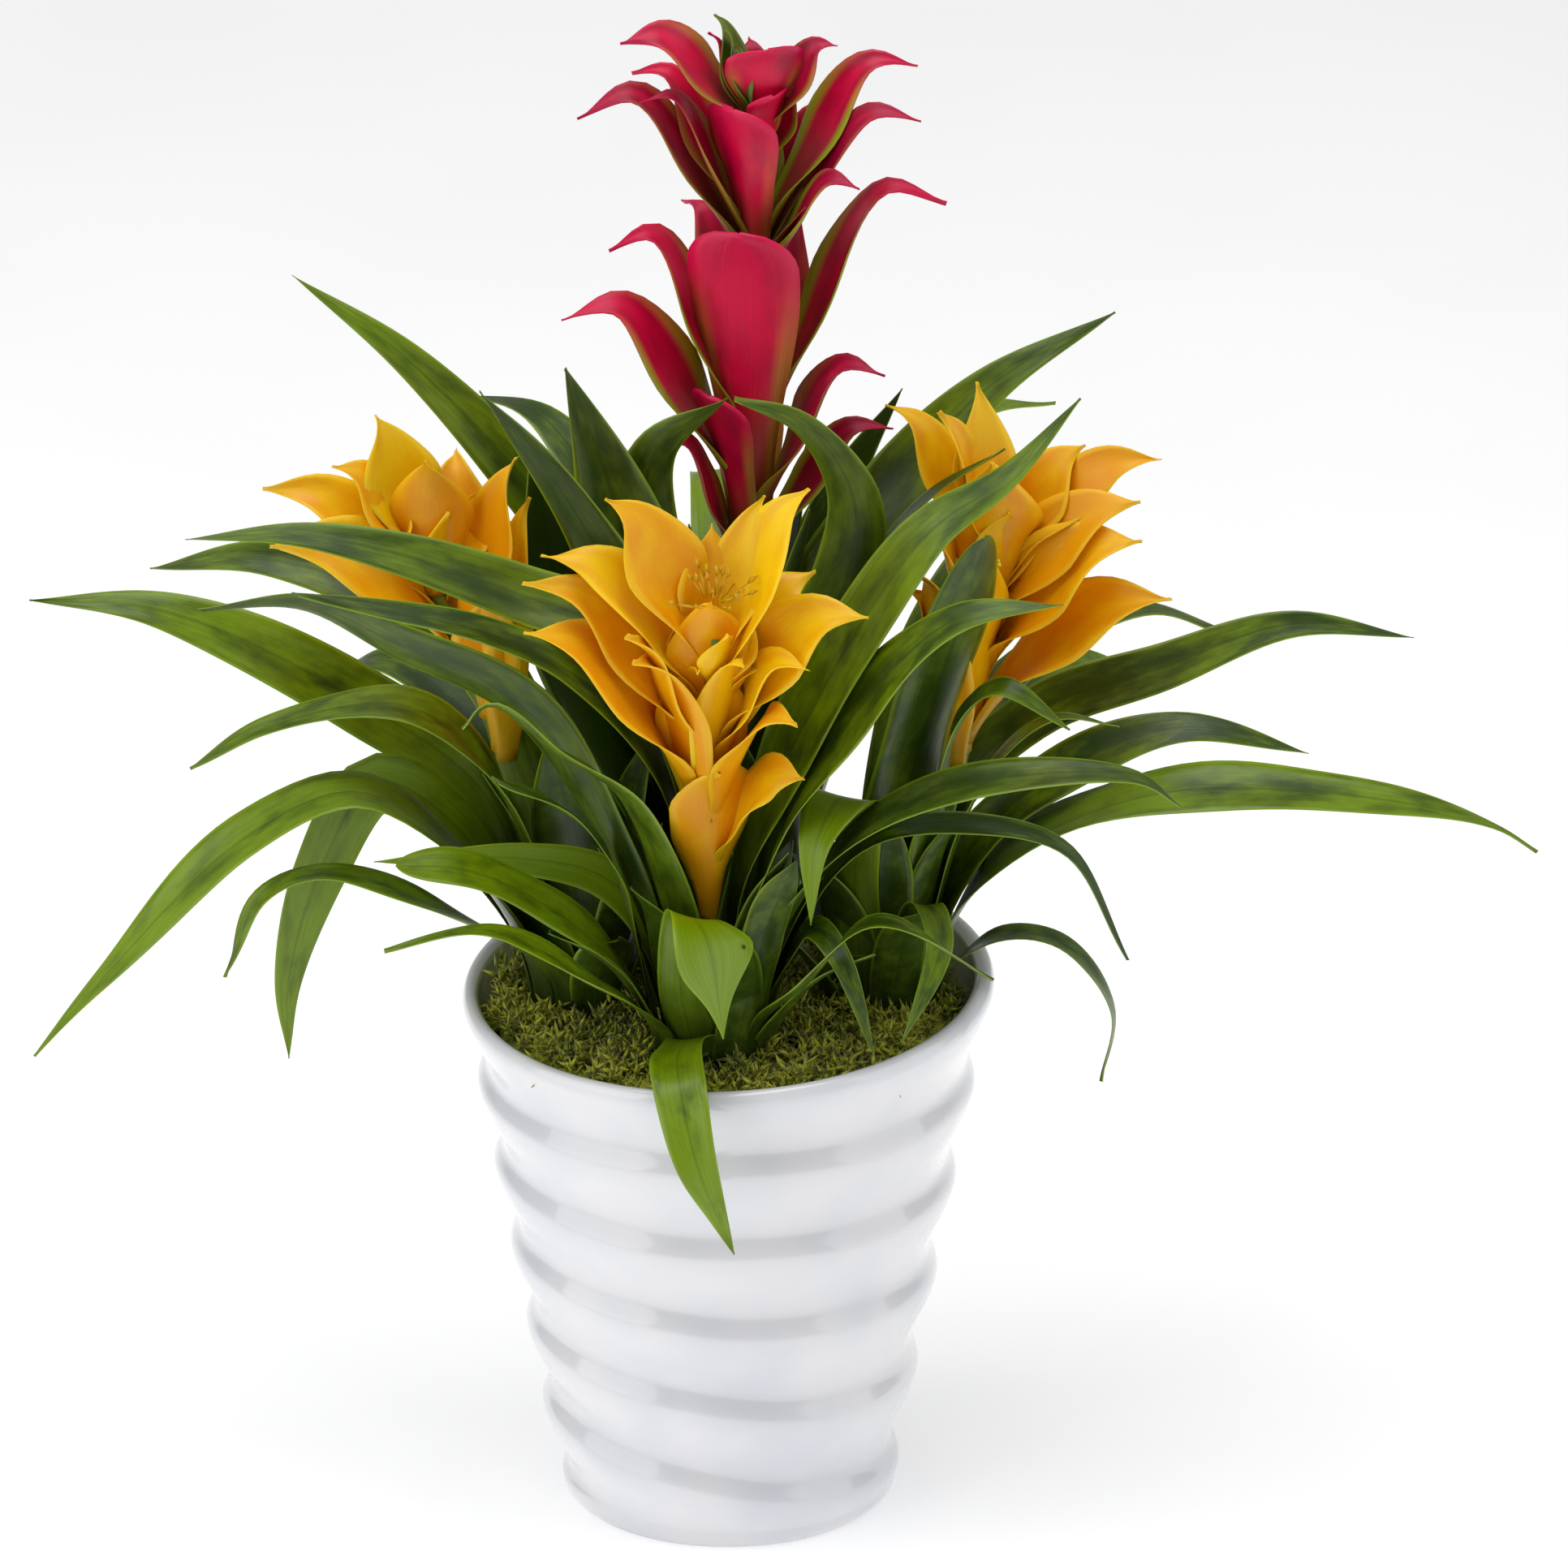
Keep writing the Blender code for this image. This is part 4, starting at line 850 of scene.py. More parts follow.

# %% [markdown]
# The leaves are listed plant by plant. Each row gives the ring of the rosette it grows
# from, the compass angle where it leaves the crown, its width, how much of its length
# tapers, the roll at its tip and the waypoints of its middle line from the crown.
# Below the rows, a few leaves get what the rows can't say: a grey back turned up, a
# darker green for painted shade or a brighter green for painted light, a round end,
# another roll, more width, or a heart shape (where its middle is, how long, how much
# wider, and how long the point is).

# %% The leaves of the four plants
LEAVES = {
    "left": (
        ("long", 5, 154, 24, 0.45, -35, ((-34, 17, 80), (-80, 20, 118), (-150, 24, 152),
         (-198, 24, 156))),
        ("upper", 3, 140, 22, 0.4, -30, ((-18, 24, 88), (-44, 44, 132), (-112, 56, 158),
         (-156, 62, 152))),
        ("short", 4, 210, 21, 0.4, -35, ((-18, -9, 62), (-36, -16, 110), (-64, -19, 134),
         (-112, -20, 126), (-140, -24, 112))),
        ("trailing", 6, 213, 20, 0.4, -45, ((-19, -14, 30), (-42, -28, 76), (-80, -32, 106),
         (-120, -36, 90), (-172, -40, 36), (-196, -44, 8))),
        ("hanging", 6, 181, 20, 0.4, -80, ((-24, -3, 38), (-48, -5, 83), (-74, -10, 100),
         (-94, -14, 68), (-106, -15, 24), (-106, -15, -6))),
        ("slim", 6, 248, 14, 0.5, -25, ((-10, -22, 29), (-46, -38, 60), (-90, -44, 80),
         (-114, -48, 72), (-128, -50, 42))),
        ("inner", 1, 260, 26, 0.3, 0, ((-2, -12, 46), (-6, -18, 92), (-12, -22, 124))),
        ("back_low", 5, 120, 22, 0.45, 0, ((-16, 26, 50), (-38, 54, 92), (-72, 88, 104),
         (-100, 112, 84))),
        ("back_high", 2, 95, 22, 0.45, 0, ((4, 24, 72), (-6, 54, 126), (-38, 92, 156),
         (-74, 122, 152))),
    ),
    "front": (
        ("grey_left", 4, 190, 24, 0.45, 50, ((-22, -3, 56), (-38, -4, 96), (-66, -4, 146),
         (-110, -4, 170), (-144, -4, 186), (-182, -4, 184))),
        ("high_left", 1, 165, 22, 0.45, -35, ((-9, 2, 120), (-34, 4, 170), (-68, 4, 186),
         (-116, -2, 206), (-148, -2, 212), (-186, -2, 210))),
        ("mid_left", 2, 195, 18, 0.45, -30, ((-18, -4, 118), (-50, -10, 162), (-80, -16, 180),
         (-118, -22, 192), (-148, -26, 200))),
        ("bright_left", 5, 143, 14, 0.55, -35, ((-20, 12, 48), (-38, 12, 72), (-68, 3, 84),
         (-120, -9, 88))),
        ("blunt_left", 5, 198, 17, 0.16, -30, ((-28, -12, 40), (-54, -20, 72), (-86, -26, 92),
         (-112, -30, 96))),
        ("low_left", 6, 224, 15, 0.5, -30, ((-21, -17, 28), (-46, -38, 56), (-78, -42, 76),
         (-116, -46, 70))),
        ("curled_left", 3, 240, 21, 0.35, -30, ((-14, -16, 72), (-30, -24, 118), (-56, -32, 142),
         (-78, -34, 160), (-88, -32, 150))),
        ("narrow_left", 6, 168, 12, 0.45, 30, ((-26, 1, 46), (-34, -10, 82), (-46, -20, 108),
         (-78, -24, 128))),
        ("tall_right", 1, 355, 26, 0.5, 50, ((14, -4, 88), (38, -6, 150), (76, -8, 214),
         (104, -8, 236), (130, -6, 266))),
        ("broad_right", 2, 335, 26, 0.45, 45, ((20, -12, 88), (48, -20, 146), (86, -28, 190),
         (124, -32, 198))),
        ("grey_right", 3, 322, 20, 0.35, 40, ((24, -12, 60), (54, -22, 106), (94, -30, 128),
         (150, -30, 130), (166, -28, 118))),
        ("thin_right", 5, 10, 9, 0.6, 20, ((30, 3, 58), (58, -4, 96), (94, -12, 104),
         (126, -12, 94), (148, -10, 50))),
        ("low_right", 6, 314, 13, 0.5, 20, ((19, -18, 30), (32, -34, 50), (58, -44, 80),
         (100, -48, 60))),
        ("crossing", 6, 345, 10, 0.5, 10, ((24, -8, 40), (36, -14, 64), (46, -28, 58),
         (58, -38, 24))),
        ("grey_front", 5, 286, 15, 0.25, 0, ((11, -23, 34), (20, -26, 72), (30, -28, 98))),
        ("folded", 4, 262, 34, 0.5, 0, ((-11, -28, 46), (-8, -44, 82), (-2, -58, 80),
         (4, -68, 46))),
        ("over_rim", 6, 264, 17, 0.45, 0, ((-6, -23, 24), (-12, -46, 29), (-11, -65, 24),
         (-5, -77, 0), (8, -77, -34))),
    ),
    "right": (
        ("round", 1, 295, 31, 0.18, 15, ((8, -16, 96), (18, -25, 140), (28, -34, 178),
         (36, -38, 208))),
        ("short", 2, 315, 20, 0.45, 30, ((18, -17, 86), (28, -32, 134), (42, -43, 152),
         (66, -49, 138))),
        ("tongue", 3, 333, 11, 0.5, 30, ((27, -9, 78), (42, -13, 112), (62, -20, 130),
         (84, -24, 128))),
        ("pale_back", 4, 62, 20, 0.4, -25, ((18, 30, 80), (52, 58, 116), (94, 70, 132),
         (128, 78, 118))),
        ("high", 3, 34, 18, 0.45, 35, ((24, 16, 80), (56, 25, 112), (100, 28, 128),
         (146, 30, 144), (190, 32, 138))),
        ("middle", 4, 10, 18, 0.45, 35, ((26, -4, 61), (56, -3, 96), (106, 2, 116),
         (152, 2, 106))),
        ("long", 5, 340, 24, 0.5, 35, ((24, -10, 42), (44, -14, 72), (94, -18, 98),
         (160, -16, 98), (218, -12, 84), (234, -12, 74))),
        ("drooping", 6, 330, 12, 0.45, 20, ((22, -14, 26), (42, -20, 44), (64, -22, 42),
         (82, -22, 16), (78, -22, -12))),
        ("bent", 5, 290, 12, 0.5, 0, ((8, -24, 44), (16, -42, 66), (20, -58, 58), (6, -70, 24))),
        ("folded", 4, 250, 26, 0.45, 0, ((-10, -23, 60), (-10, -39, 102), (-16, -56, 114),
         (-24, -72, 104), (-26, -80, 76))),
        ("inner", 3, 272, 20, 0.3, 0, ((0, -18, 36), (0, -24, 70), (2, -28, 98))),
        ("back_low", 5, 70, 22, 0.45, 0, ((12, 26, 48), (34, 54, 90), (68, 88, 104),
         (96, 112, 86))),
        ("back_high", 2, 85, 22, 0.45, 0, ((4, 22, 74), (18, 50, 128), (44, 84, 160),
         (72, 114, 158))),
    ),
    "crimson": (
        ("outer_left", 3, 160, 22, 0.45, -50, ((-24, 12, 112), (-60, 16, 168), (-118, 22, 234),
         (-160, 30, 264))),
        ("broad_left", 3, 235, 30, 0.4, -15, ((-20, -22, 110), (-36, -29, 168), (-50, -31, 220),
         (-62, -31, 254))),
        ("curved_inner", 1, 215, 24, 0.4, -20, ((-18, -10, 110), (-34, -16, 170), (-30, -26, 220),
         (-4, -33, 244))),
        ("glossy_left", 4, 240, 22, 0.5, -25, ((-18, -32, 106), (-36, -46, 158), (-62, -53, 214),
         (-92, -57, 256))),
        ("dark_left", 5, 190, 26, 0.45, -40, ((-38, -8, 90), (-62, -8, 144), (-70, -8, 184),
         (-74, -6, 216))),
        ("outer_right", 3, 14, 26, 0.45, 50, ((16, 4, 112), (42, 12, 170), (88, 24, 222),
         (134, 34, 248))),
        ("hidden_right", 2, 66, 18, 0.4, 30, ((14, 22, 110), (34, 36, 174), (58, 44, 214))),
        ("curved_right", 2, 305, 20, 0.45, 0, ((20, -20, 126), (38, -28, 172), (40, -34, 206),
         (22, -38, 236), (-2, -40, 246))),
        ("twin_upper", 3, 328, 18, 0.5, 30, ((26, -13, 106), (44, -18, 164), (66, -29, 202),
         (94, -43, 228))),
        ("twin_lower", 4, 295, 15, 0.5, 30, ((24, -32, 104), (48, -38, 164), (68, -42, 198),
         (94, -48, 224))),
        ("back_left", 4, 125, 24, 0.45, 0, ((-20, 28, 80), (-44, 62, 148), (-72, 98, 180),
         (-104, 126, 176))),
        ("back_middle", 5, 92, 26, 0.45, 0, ((0, 32, 70), (-4, 68, 126), (-10, 108, 150),
         (-18, 150, 134))),
        ("back_right", 4, 60, 24, 0.45, 0, ((18, 28, 84), (46, 60, 150), (80, 92, 182),
         (114, 120, 176))),
    ),
}
GREYED = {"front_grey_left": 0.9, "front_narrow_left": 0.7, "front_grey_right": 0.7,
          "front_grey_front": 0.7, "right_pale_back": 0.7, "front_high_left": 0.25}
# Painted light and shade: a low tone darkens a leaf's green where it stands in shade, a high one
# brightens it where light falls.
PAINTED_LIGHT_AND_SHADE = {"crimson_dark_left": -1.6, "crimson_glossy_left": -0.9, "left_inner": -0.8,
          "right_inner": -0.8, "crimson_hidden_right": -0.8, "left_hanging": 0.8,
          "left_trailing": 0.6, "front_folded": 1.8, "right_folded": 1.2,
          "front_bright_left": 1.4, "left_long": 0.5, "right_long": 0.5,
          "front_over_rim": 0.9, "right_round": -0.3, "front_blunt_left": 0.8}
ROUND_END = {"right_round", "front_blunt_left"}
TURNED = {"left_slim": -60, "crimson_curved_right": -35, "crimson_curved_inner": 55,
          "crimson_dark_left": -75, "crimson_broad_left": 35, "crimson_glossy_left": 25}
BROAD = {"crimson_curved_right": 1.45, "crimson_curved_inner": 1.35,
         "crimson_broad_left": 1.4, "crimson_dark_left": 1.5, "crimson_glossy_left": 1.35,
         "front_over_rim": 1.15, "crimson_hidden_right": 1.3}
HEART_SHAPED = {"front_folded": (0.80, 0.10, 26.0, 0.3),
                "right_folded": (0.72, 0.12, 12.0, 0.4)}
print(sum(len(rows) for rows in LEAVES.values()), "leaves listed")

# %% [markdown]
# A leaf clasps the crown with a broad, strongly curved base, opens to a shallow channel
# and ends in a point, a blunt round end or, where it is bent over, a heart. Two slow
# ripples along its margins keep it from looking stamped.

# %% Grow the leaves
LEAF_STEPS = stations(52)
FIRST_RING_RADIUS, RING_STEP = 6.6, 2.05
ROOT_PULL = (0.0, 0.0, 24.0)
UPRIGHT = Vector((0.0, 0.0, 1.0))
LEAF_THICK, LEAF_RIM = 0.85, 0.32
USUAL_BREADTH, TAPER_STRETCH, LONGEST_TAPER = 1.12, 1.12, 0.6
WIDEST_BASE, HEART_NECK = 17.0, 17.0
rnd = random.Random(20)


def point_shape(t, taper, blunt):
    rest = max(0.0, min(1.0, (1.0 - t) / taper))
    if blunt:
        return max(0.03, math.sqrt(1.0 - (1.0 - rest) ** 2))
    return max(0.02, smooth(rest) ** 0.5)


def heading(compass):
    """Straight out from a crown or stalk, and the direction across that."""
    angle = math.radians(compass)
    return (Vector((math.cos(angle), math.sin(angle), 0.0)),
            Vector((-math.sin(angle), math.cos(angle), 0.0)))


def dressed_leaf(name, node, frames, side, tone, grey, at, ripple):
    look = Look(LEAF_STEPS, LEAF_THICK, LEAF_RIM, tone, grey, at, ripple)
    piece = strap(name, frames, side, look, LEAF)
    dress(piece, node)
    return piece


def leaf(plant, row):
    name, ring, compass, width, taper, roll, points = row
    label = f"{plant}_{name}"
    outward, side = heading(compass)
    radius = FIRST_RING_RADIUS + RING_STEP * ring
    origin = Vector((*CROWNS[plant], SEAT))
    path = [origin + outward * radius] + [origin + Vector(p) for p in points]
    frames = spline(path, LEAF_STEPS, ROOT_PULL)
    frames[0] = (frames[0][0], UPRIGHT)
    base = min(WIDEST_BASE, 1.9 * radius, width * 0.95)
    clasp = 0.5 * base / radius
    full = width * BROAD.get(label, USUAL_BREADTH)
    roll = TURNED.get(label, roll)
    heart = HEART_SHAPED.get(label)
    taper = heart[3] if heart else min(LONGEST_TAPER, taper * TAPER_STRETCH)
    waves = [(rnd.uniform(0.4, 0.9), rnd.uniform(12, 26), rnd.uniform(0, 6.28)) for _ in range(2)]
    tilt = rnd.uniform(-0.35, 0.35)

    def at(t):
        wide = base + (full - base) * smooth(t / 0.38)
        if heart:
            wide = min(wide, HEART_NECK)
            wide += heart[2] * math.exp(-((t - heart[0]) / heart[1]) ** 2)
        wide *= point_shape(t, taper, label in ROUND_END)
        arc = clasp + (0.42 - clasp) * smooth(t / 0.4)
        return wide, arc * (1.0 - 0.4 * t), math.radians(roll) * smooth(t / 0.7), tilt * t

    def ripple(t, u):
        swing = sum(a * math.sin(f * t + p + (1.9 if u > 0 else 0.0)) for a, f, p in waves)
        return swing * u * u * smooth(t / 0.3)

    # A leaf's tone is random unless it is set as painted light or shade.
    tone = PAINTED_LIGHT_AND_SHADE.get(label, rnd.uniform(-0.5, 0.6))
    return dressed_leaf(f"{plant}_leaf_{name}_strap", f"{plant}_leaf_{name}", frames, side,
                        tone, GREYED.get(label, 0.0), at, ripple)


leaves = [leaf(plant, row) for plant, rows in LEAVES.items() for row in rows]
print(len(leaves), "leaves,", sum(len(p.data.polygons) for p in leaves), "faces")

# %% [markdown]
# The heart of each rosette is packed with short inner leaves, painted dark for the shade
# in the crown, of which only the edges show. They need no drawing of their own: they
# stand round the crown at the golden angle, each a little further out and leaning a
# little more than the last.

# %% Fill the crowns
GOLDEN = 137.5
FILL = {"front": (11, 60.0, 110.0), "left": (9, 55.0, 105.0), "right": (10, 60.0, 105.0),
        "crimson": (22, 120.0, 205.0)}


def inner_leaf(plant, index, count, low, high):
    share = index / (count - 1)
    compass = index * GOLDEN + 40.0
    lean = 16.0 + 22.0 * share
    tall = high + (low - high) * share
    out, side = heading(compass)
    points = [out * (8.0 + 8.0 * share + lean * 0.25) + Vector((0, 0, tall * 0.4)),
              out * (12.0 + 8.0 * share + lean * 0.6) + Vector((0, 0, tall * 0.78)),
              out * (16.0 + 10.0 * share + lean) + Vector((0, 0, tall))]
    origin = Vector((*CROWNS[plant], SEAT))
    radius = 6.0 + 11.0 * share
    path = [origin + out * radius] + [origin + p for p in points]
    frames = spline(path, LEAF_STEPS, ROOT_PULL)
    wide = rnd.uniform(20.0, 27.0)
    swing, phase = rnd.uniform(0.5, 1.2), rnd.uniform(0, 6.28)

    def at(t):
        full = (14.0 + (wide - 14.0) * smooth(t / 0.4)) * point_shape(t, 0.5, False)
        return full, 0.8 - 0.4 * smooth(t / 0.5), 0.0, 0.0

    def ripple(t, u):
        return swing * math.sin(9.0 * t + phase + (1.5 if u > 0 else 0.0)) * u * u

    # Painted shade: the inner leaves take only low tones, dark for the shade in the crown.
    return dressed_leaf(f"{plant}_inner_leaf_{index:02d}", None, frames, side,
                        rnd.uniform(-1.6, -0.4), 0.0, at, ripple)


fillers = [inner_leaf(plant, k, count, low, high)
           for plant, (count, low, high) in FILL.items() for k in range(count)]
print(len(fillers), "inner leaves")

# %% [markdown]
# A flower head is a stalk with bracts up it. Each row gives the height of a bract's root
# on the stalk, its compass angle, how far out and up its tip is, its width and how far
# the tip turns back. The crimson plant carries them in whorls with bare stalk between,
# the yellow ones in one dense cone. A few low bracts of the yellow heads are listed on
# their own, and two bracts start lower on the stalk than their rows say.

# %% The stalks and bracts of the four plants
STALKS = {
    "front": ((-5, -38, SEAT), (-7, -48, SEAT + 72), (-6, -60, SEAT + 130), (-4, -70, SEAT + 186)),
    "left": ((-51, 5, SEAT), (-70, 10, SEAT + 74), (-92, 20, SEAT + 136), (-116, 30, SEAT + 184)),
    "right": ((56, 5, SEAT), (80, 10, SEAT + 90), (92, 20, SEAT + 146), (101, 30, SEAT + 184)),
    "crimson": ((5, 42, SEAT), (7, 43, SEAT + 120), (10, 44, SEAT + 230), (12, 45, SEAT + 346)),
}
BRACTS = {
    "crimson": (
        (326, -169, 50, 48, 22, 0.3), (328, 180, 18, 48, 14, 0.0), (326, -75, 12, 46, 23, 0.0),
        (326, -5, 28, 44, 18, 0.2), (324, 100, 20, 44, 20, 0.1), (286, 165, 46, 60, 18, 0.3),
        (284, -165, 43, 64, 18, 0.3), (276, -174, 64, 62, 20, 0.6),
        (278, -118, 18, 64, 24, 0.1), (286, 4, 57, 66, 20, 0.3), (276, -14, 60, 64, 17, 0.3),
        (284, 36, 34, 50, 20, 0.2), (270, -34, 44, 48, 17, 0.3), (280, 95, 30, 56, 24, 0.2),
        (206, -169, 52, 82, 20, 0.4), (204, -100, 24, 94, 30, 0.1), (210, -4, 69, 98, 24, 0.4),
        (208, 60, 40, 84, 24, 0.3), (206, 125, 44, 82, 24, 0.3), (184, -172, 68, 78, 26, 0.4),
        (176, -20, 51, 66, 24, 0.3), (158, -152, 36, 62, 20, 0.2),
        (168, -124, 26, 66, 20, 0.1), (164, 8, 52, 52, 18, 0.3), (170, 92, 48, 66, 24, 0.3),
    ),
    "front": (
        (166, 174, 38, 68, 24, 0.2), (164, 26, 21, 70, 20, 0.1), (156, -4, 35, 86, 28, 0.1),
        (168, 90, 10, 56, 22, 0.0), (152, -176, 60, 64, 20, 0.4), (124, -167, 67, 84, 20, 0.3),
        (108, -157, 70, 84, 30, 0.2), (112, -136, 40, 80, 20, 0.1),
        (142, -88, 16, 60, 24, 0.3), (132, -14, 58, 62, 24, 0.5), (122, -36, 44, 58, 18, 0.6),
        (102, -46, 46, 56, 20, 0.6), (84, -34, 42, 48, 16, 0.5), (74, -80, 27, 60, 28, 0.3),
        (152, 22, 40, 50, 22, 0.2), (144, 110, 30, 60, 24, 0.2), (120, 142, 44, 64, 24, 0.2),
        (122, 60, 40, 60, 24, 0.2),
    ),
    "left": (
        (166, 176, 18, 62, 26, 0.0), (162, -168, 37, 52, 22, 0.3),
        (162, -100, 16, 58, 26, 0.1), (150, 178, 67, 52, 20, 0.4),
        (132, -166, 74, 58, 24, 0.4), (134, -22, 18, 84, 22, 0.1), (120, 30, 18, 78, 14, 0.2),
        (118, -84, 26, 56, 24, 0.2), (146, 90, 30, 58, 24, 0.2), (126, 130, 44, 60, 24, 0.3),
    ),
    "right": (
        (162, 170, 40, 68, 18, 0.3), (164, -160, 21, 72, 20, 0.1), (166, 140, 10, 74, 20, 0.0),
        (166, 2, 31, 52, 22, 0.1), (160, -6, 60, 56, 18, 0.4), (146, -14, 57, 60, 22, 0.2),
        (130, -18, 62, 64, 27, 0.2), (108, -11, 76, 62, 26, 0.3), (156, -90, 16, 62, 28, 0.1),
        (140, -150, 24, 62, 20, 0.1), (114, -164, 22, 56, 16, 0.2), (150, 90, 28, 60, 24, 0.2),
        (124, 50, 40, 60, 24, 0.3),
    ),
}
LOW_BRACTS = {"front": [(86, -96, 28, 88, 26, 0.5), (104, -66, 32, 78, 24, 0.5),
                        (96, -128, 42, 86, 26, 0.3)],
              "left": [(104, -120, 30, 80, 26, 0.3), (100, -60, 24, 80, 24, 0.3)],
              "right": [(104, -62, 30, 84, 26, 0.3), (98, -120, 26, 84, 26, 0.3)]}
LONGER = {(204, -100): 30, (74, -80): 14}
HEARTS = {"crimson": (318, 3, 38, 15), "front": (162, 4, 30, 16), "left": (158, 5, 40, 18),
          "right": (158, 5, 42, 18)}
print(sum(len(rows) for rows in BRACTS.values()), "bracts listed")

# %% [markdown]
# The stalk is a tube along its curve. A bract is a strap rooted on it, strongly cupped
# where it clasps and flatter at the tip. Smaller bracts, set round the top at the
# golden angle, close the heart of each head as they do on the plant. The front ones of
# the crimson whorls end in a round lip, and all others are drawn out to a point.

# %% Grow the flower heads
BRACT_STEPS = stations(24)
STALK_PULL, BRACT_PULL = (0.0, 0.0, 30.0), (0.0, 0.0, 14.0)
BLUNT_FRONT = 35.0
RAISED, TOP_LOWERED, TOP_WHORL = 5.0, 8.0, 300.0
LOW_ROOT, LOW_ROOT_SPAN = 100.0, 25.0
STALK_RADIUS, STALK_THINNING = 4.2, 0.3
BRACT_THICK, BRACT_RIM, ROOT_INSET = 1.0, 0.4, 3.4
BUDS, BUD_HEIGHT = 3, 326


def stalk_point(plant, height):
    knots = [Vector(p) for p in STALKS[plant]]
    frames = spline(knots, [k / 60.0 for k in range(61)], STALK_PULL)
    target = SEAT + min(height, knots[-1].z - SEAT)
    return min(frames, key=lambda item: abs(item[0].z - target))[0]


def stalk(plant):
    count, sides = 40, 14
    frames = spline(STALKS[plant], [k / (count - 1) for k in range(count)], STALK_PULL)
    frames[0] = (frames[0][0], UPRIGHT)
    bm = bmesh.new()
    uv_layer = bm.loops.layers.uv.new("strap")
    tone = bm.verts.layers.float.new("tone")
    rings, places = [], {}
    for index, (centre, tangent) in enumerate(frames):
        right = tangent.cross(Vector((0.0, 1.0, 0.0))).normalized()
        ahead = right.cross(tangent).normalized()
        share = index / (count - 1)
        radius = STALK_RADIUS * (1.0 - STALK_THINNING * share) + 0.18 * math.sin(share * 60.0)
        ring = []
        for k in range(sides):
            turn = 2.0 * math.pi * k / sides
            spot = centre + right * (radius * math.cos(turn)) + ahead * (radius * math.sin(turn))
            vert = bm.verts.new(spot * MM)
            vert[tone] = 0.3
            places[vert] = (k / sides, share)
            ring.append(vert)
        rings.append(ring)
    bridge(bm, rings)
    for ring in (rings[0], rings[-1]):
        bm.faces.new(ring)
    map_strap(bm, uv_layer, places)
    piece = add_piece(f"{plant}_flower_stalk", bm, STALK_GREEN)
    dress(piece, f"{plant}_flower_spike")
    return piece


def drawn_out(t, taper):
    rest = max(0.0, min(1.0, (1.0 - t) / taper))
    return max(0.03, smooth(rest) ** 0.72 * 0.94 + 0.06 * rest)


def bract(plant, index, row, material, olive=0.0):
    height, compass, reach, rise, width, curl = row
    outward, side = heading(compass)
    crimson = plant == "crimson"
    blunt = crimson and abs((compass + 90.0 + 180.0) % 360.0 - 180.0) < BLUNT_FRONT
    if crimson:
        rise += -TOP_LOWERED if height > TOP_WHORL else (RAISED if blunt else 0.0)
    core = stalk_point(plant, height)
    arch = 0.84 if blunt else (0.92 + 0.36 * curl if crimson else 0.86 + 0.22 * curl)

    def spot(out, high):
        return core + outward * out + UPRIGHT * high

    path = [core + outward * ROOT_INSET,
            spot(reach * (0.33 - 0.06 * curl) + 3.6, rise * (0.52 + 0.16 * curl)),
            spot(reach * (0.68 - 0.04 * curl) + 1.5, rise * arch),
            spot(reach, rise)]
    frames = spline(path, BRACT_STEPS, BRACT_PULL)
    full = width * rnd.uniform(1.16, 1.36) * (0.92 if crimson and not blunt else 1.0)
    lean = rnd.uniform(-0.2, 0.2) + (0.6 if crimson else 0.8) * math.cos(math.radians(compass))
    swing = rnd.uniform(0.6, 1.4) * (1.0 if crimson else 1.7)
    low = 0.0 if crimson else smooth((LOW_ROOT - height) / LOW_ROOT_SPAN)
    pace, phase = rnd.uniform(7, 13), rnd.uniform(0, 6.28)

    def at(t):
        if blunt:
            wide = full * (0.50 + 0.56 * smooth((t - 0.2) / 0.6)) * point_shape(t, 0.14, True)
        elif crimson:
            wide = full * (0.56 + 0.40 * smooth(t / 0.6)) * drawn_out(t, 0.52)
        else:
            wide = full * (0.34 + 0.72 * smooth(t / 0.62)) * drawn_out(t, 0.44 - 0.2 * low)
            wide *= 1.0 - low * 0.4 * (1.0 - smooth((t - 0.2) / 0.6))
        arc = 1.15 - 0.55 * smooth(t / 0.45) - 0.3 * smooth((t - 0.4) / 0.6)
        return wide, arc, lean * smooth(t / 0.6), 0.0

    def ripple(t, u):
        turn = pace * t + phase + (1.4 if u > 0 else 0.0)
        return swing * math.sin(turn) * u * u * smooth(t / 0.3)

    look = Look(BRACT_STEPS, BRACT_THICK, BRACT_RIM, rnd.uniform(-0.8, 0.8), olive, at, ripple)
    piece = strap(f"{plant}_bract_{index:02d}", frames, side, look, material)
    dress(piece, f"{plant}_flower_spike")
    return piece


def flower_head(plant):
    crimson = plant == "crimson"
    material = CRIMSON if crimson else YELLOW
    pieces = [stalk(plant)]
    rows = list(BRACTS[plant]) + LOW_BRACTS.get(plant, [])
    low, count, rise, width = HEARTS[plant]
    for k in range(count):
        rows.append((low + 1.6 * k, (k * GOLDEN + 20) % 360, 16 - 1.5 * k, rise - 2.0 * k,
                     width, 0.0))
    for index, row in enumerate(rows):
        more = LONGER.get(row[:2], 0)
        row = (row[0] - more, row[1], row[2], row[3] + more, *row[4:])
        olive = rnd.choice((0.2, 0.5, 0.9, 1.0)) if crimson else 0.0
        pieces.append(bract(plant, index, row, material, olive))
    if crimson:
        for k in range(BUDS):
            row = (BUD_HEIGHT, 172.0 + 22.0 * k, 16.0 - 3.0 * k, 54.0 - 4.0 * k, 15.0, 0.0)
            pieces.append(bract(plant, len(rows) + k, row, STALK_GREEN))
    return pieces


heads = {plant: flower_head(plant) for plant in CROWNS}
print({plant: len(pieces) for plant, pieces in heads.items()}, "pieces a head")

# %% [markdown]
# The front flower is open, and a tuft of stamens stands in it. They are scattered by
# the same tree as the sprigs, on a small dome at the end of the stalk.

# %% Stamens in the front flower
STAMEN_FACES = 12


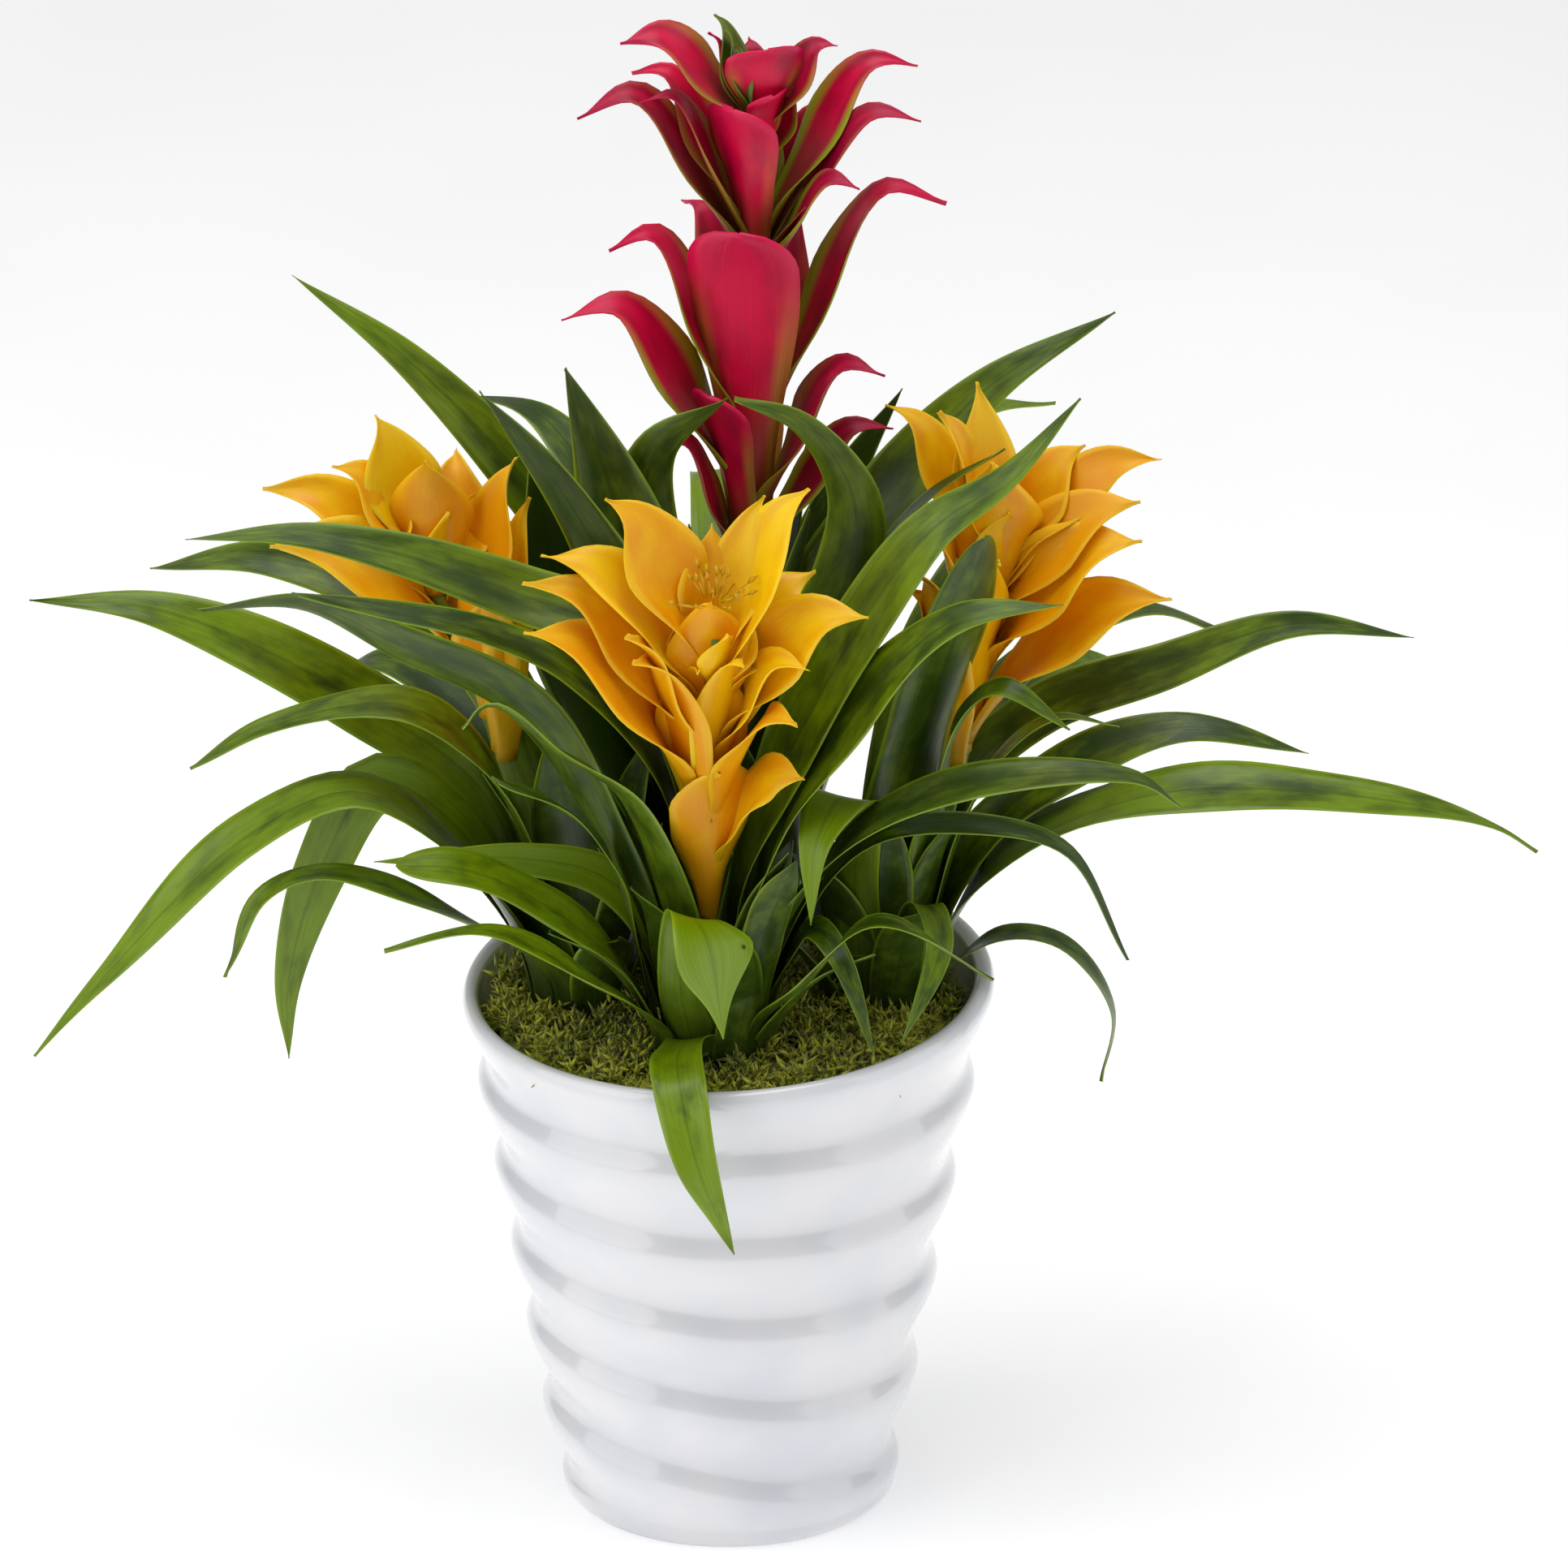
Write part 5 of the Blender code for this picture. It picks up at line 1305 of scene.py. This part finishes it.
def stamen():
    bm = bmesh.new()
    spindle(bm, (0, 0, -0.001), (0.0003, 0, 0.0100), 0.0006)
    spindle(bm, (0.0003, 0, 0.0080), (0.0005, 0.0002, 0.0125), 0.0012)
    return bm


def stamen_dome():
    bm = bmesh.new()
    bmesh.ops.create_icosphere(bm, subdivisions=2, radius=0.0055)
    tip = Vector(STALKS["front"][-1]) * MM
    bmesh.ops.translate(bm, verts=bm.verts, vec=tip + Vector((0.0, -0.003, 0.012)))
    return bm


stamen_object = add_piece("stamen", stamen(), YELLOW)
dome = add_piece("dome", stamen_dome(), YELLOW)
tuft_tree, keys = scatter_tree("scatter_stamens", YELLOW)
tuft = bake_tree("front_stamens", dome.data.copy(), tuft_tree, {
    keys["Sprig"]: stamen_object, keys["Density"]: 190000.0, keys["Smallest"]: 0.8,
    keys["Largest"]: 1.2, keys["Lean"]: 0.2, keys["Seed"]: 4, keys["Steepest"]: 0.2})
dress(tuft, "front_flower_spike")
for helper in (stamen_object, dome):
    bpy.data.objects.remove(helper, do_unlink=True)
print("stamens", len(tuft.data.polygons) // STAMEN_FACES)


# %% [markdown]
# The studio is plain: a pale floor, a soft light from each side, one from above and
# behind, and an even white surround. The side lights are very large, so the ridges of
# the glaze carry long soft reflections and no hard spots. The camera stands far off
# and looks down a little, with a long lens.

# %% Floor, lights and camera
def pale_floor():
    material, tree, shader = new_material("pale_floor")
    place = add_node(tree, "ShaderNodeTexCoord", 3)
    grain = noise(tree, place, 6.0, 2.0)
    colour = mix(tree, ramp(tree, grain, 0.3, 0.7), linear(250, 250, 250),
                 linear(247, 247, 248))
    paint(tree, shader, colour, ramp(tree, grain, 0.0, 1.0, 0.55, 0.65))
    shader.inputs["Specular IOR Level"].default_value = 0.2
    shader.inputs["Emission Color"].default_value = (1.0, 1.0, 1.0, 1.0)
    shader.inputs["Emission Strength"].default_value = 0.30
    return material


bm = bmesh.new()
bmesh.ops.create_grid(bm, x_segments=2, y_segments=2, size=12.0)
floor = add_piece("floor", bm, pale_floor())


def soft_light(name, place, aim, size, power):
    data = bpy.data.lights.new(name, "AREA")
    data.shape = "RECTANGLE"
    data.size, data.size_y = size
    data.energy = power
    lamp = bpy.data.objects.new(name, data)
    lamp.location = place
    direction = Vector(aim) - Vector(place)
    lamp.rotation_euler = direction.to_track_quat("-Z", "Y").to_euler()
    scene.collection.objects.link(lamp)


MIDDLE = (0.0, 0.0, 0.26)
soft_light("left_light", (-1.9, -1.0, 1.1), MIDDLE, (2.2, 2.0), 20.0)
soft_light("right_light", (2.0, -0.5, 1.0), MIDDLE, (1.8, 2.0), 11.0)
soft_light("top_light", (-0.1, -0.1, 2.1), MIDDLE, (1.8, 1.4), 22.0)
world = bpy.data.worlds.new("studio")
world.use_nodes = True
surround = world.node_tree.nodes["Background"]
surround.inputs["Color"].default_value = (1.0, 1.0, 1.0, 1.0)
surround.inputs["Strength"].default_value = 0.32
scene.world = world
scene.view_settings.view_transform = "Standard"

ELEVATION = math.radians(24.25)
DISTANCE = 8.0
AIM = Vector((0.0206, 0.0, 0.2755))
lens = bpy.data.cameras.new("camera")
lens.sensor_width, lens.lens = 36.0, 514.3
lens.clip_end = 40.0
camera = bpy.data.objects.new("camera", lens)
camera.location = AIM + Vector((0.0, -math.cos(ELEVATION), math.sin(ELEVATION))) * DISTANCE
camera.rotation_euler = (AIM - camera.location).to_track_quat("-Z", "Y").to_euler()
scene.collection.objects.link(camera)
scene.camera = camera
print("camera at", [round(v, 3) for v in camera.location])
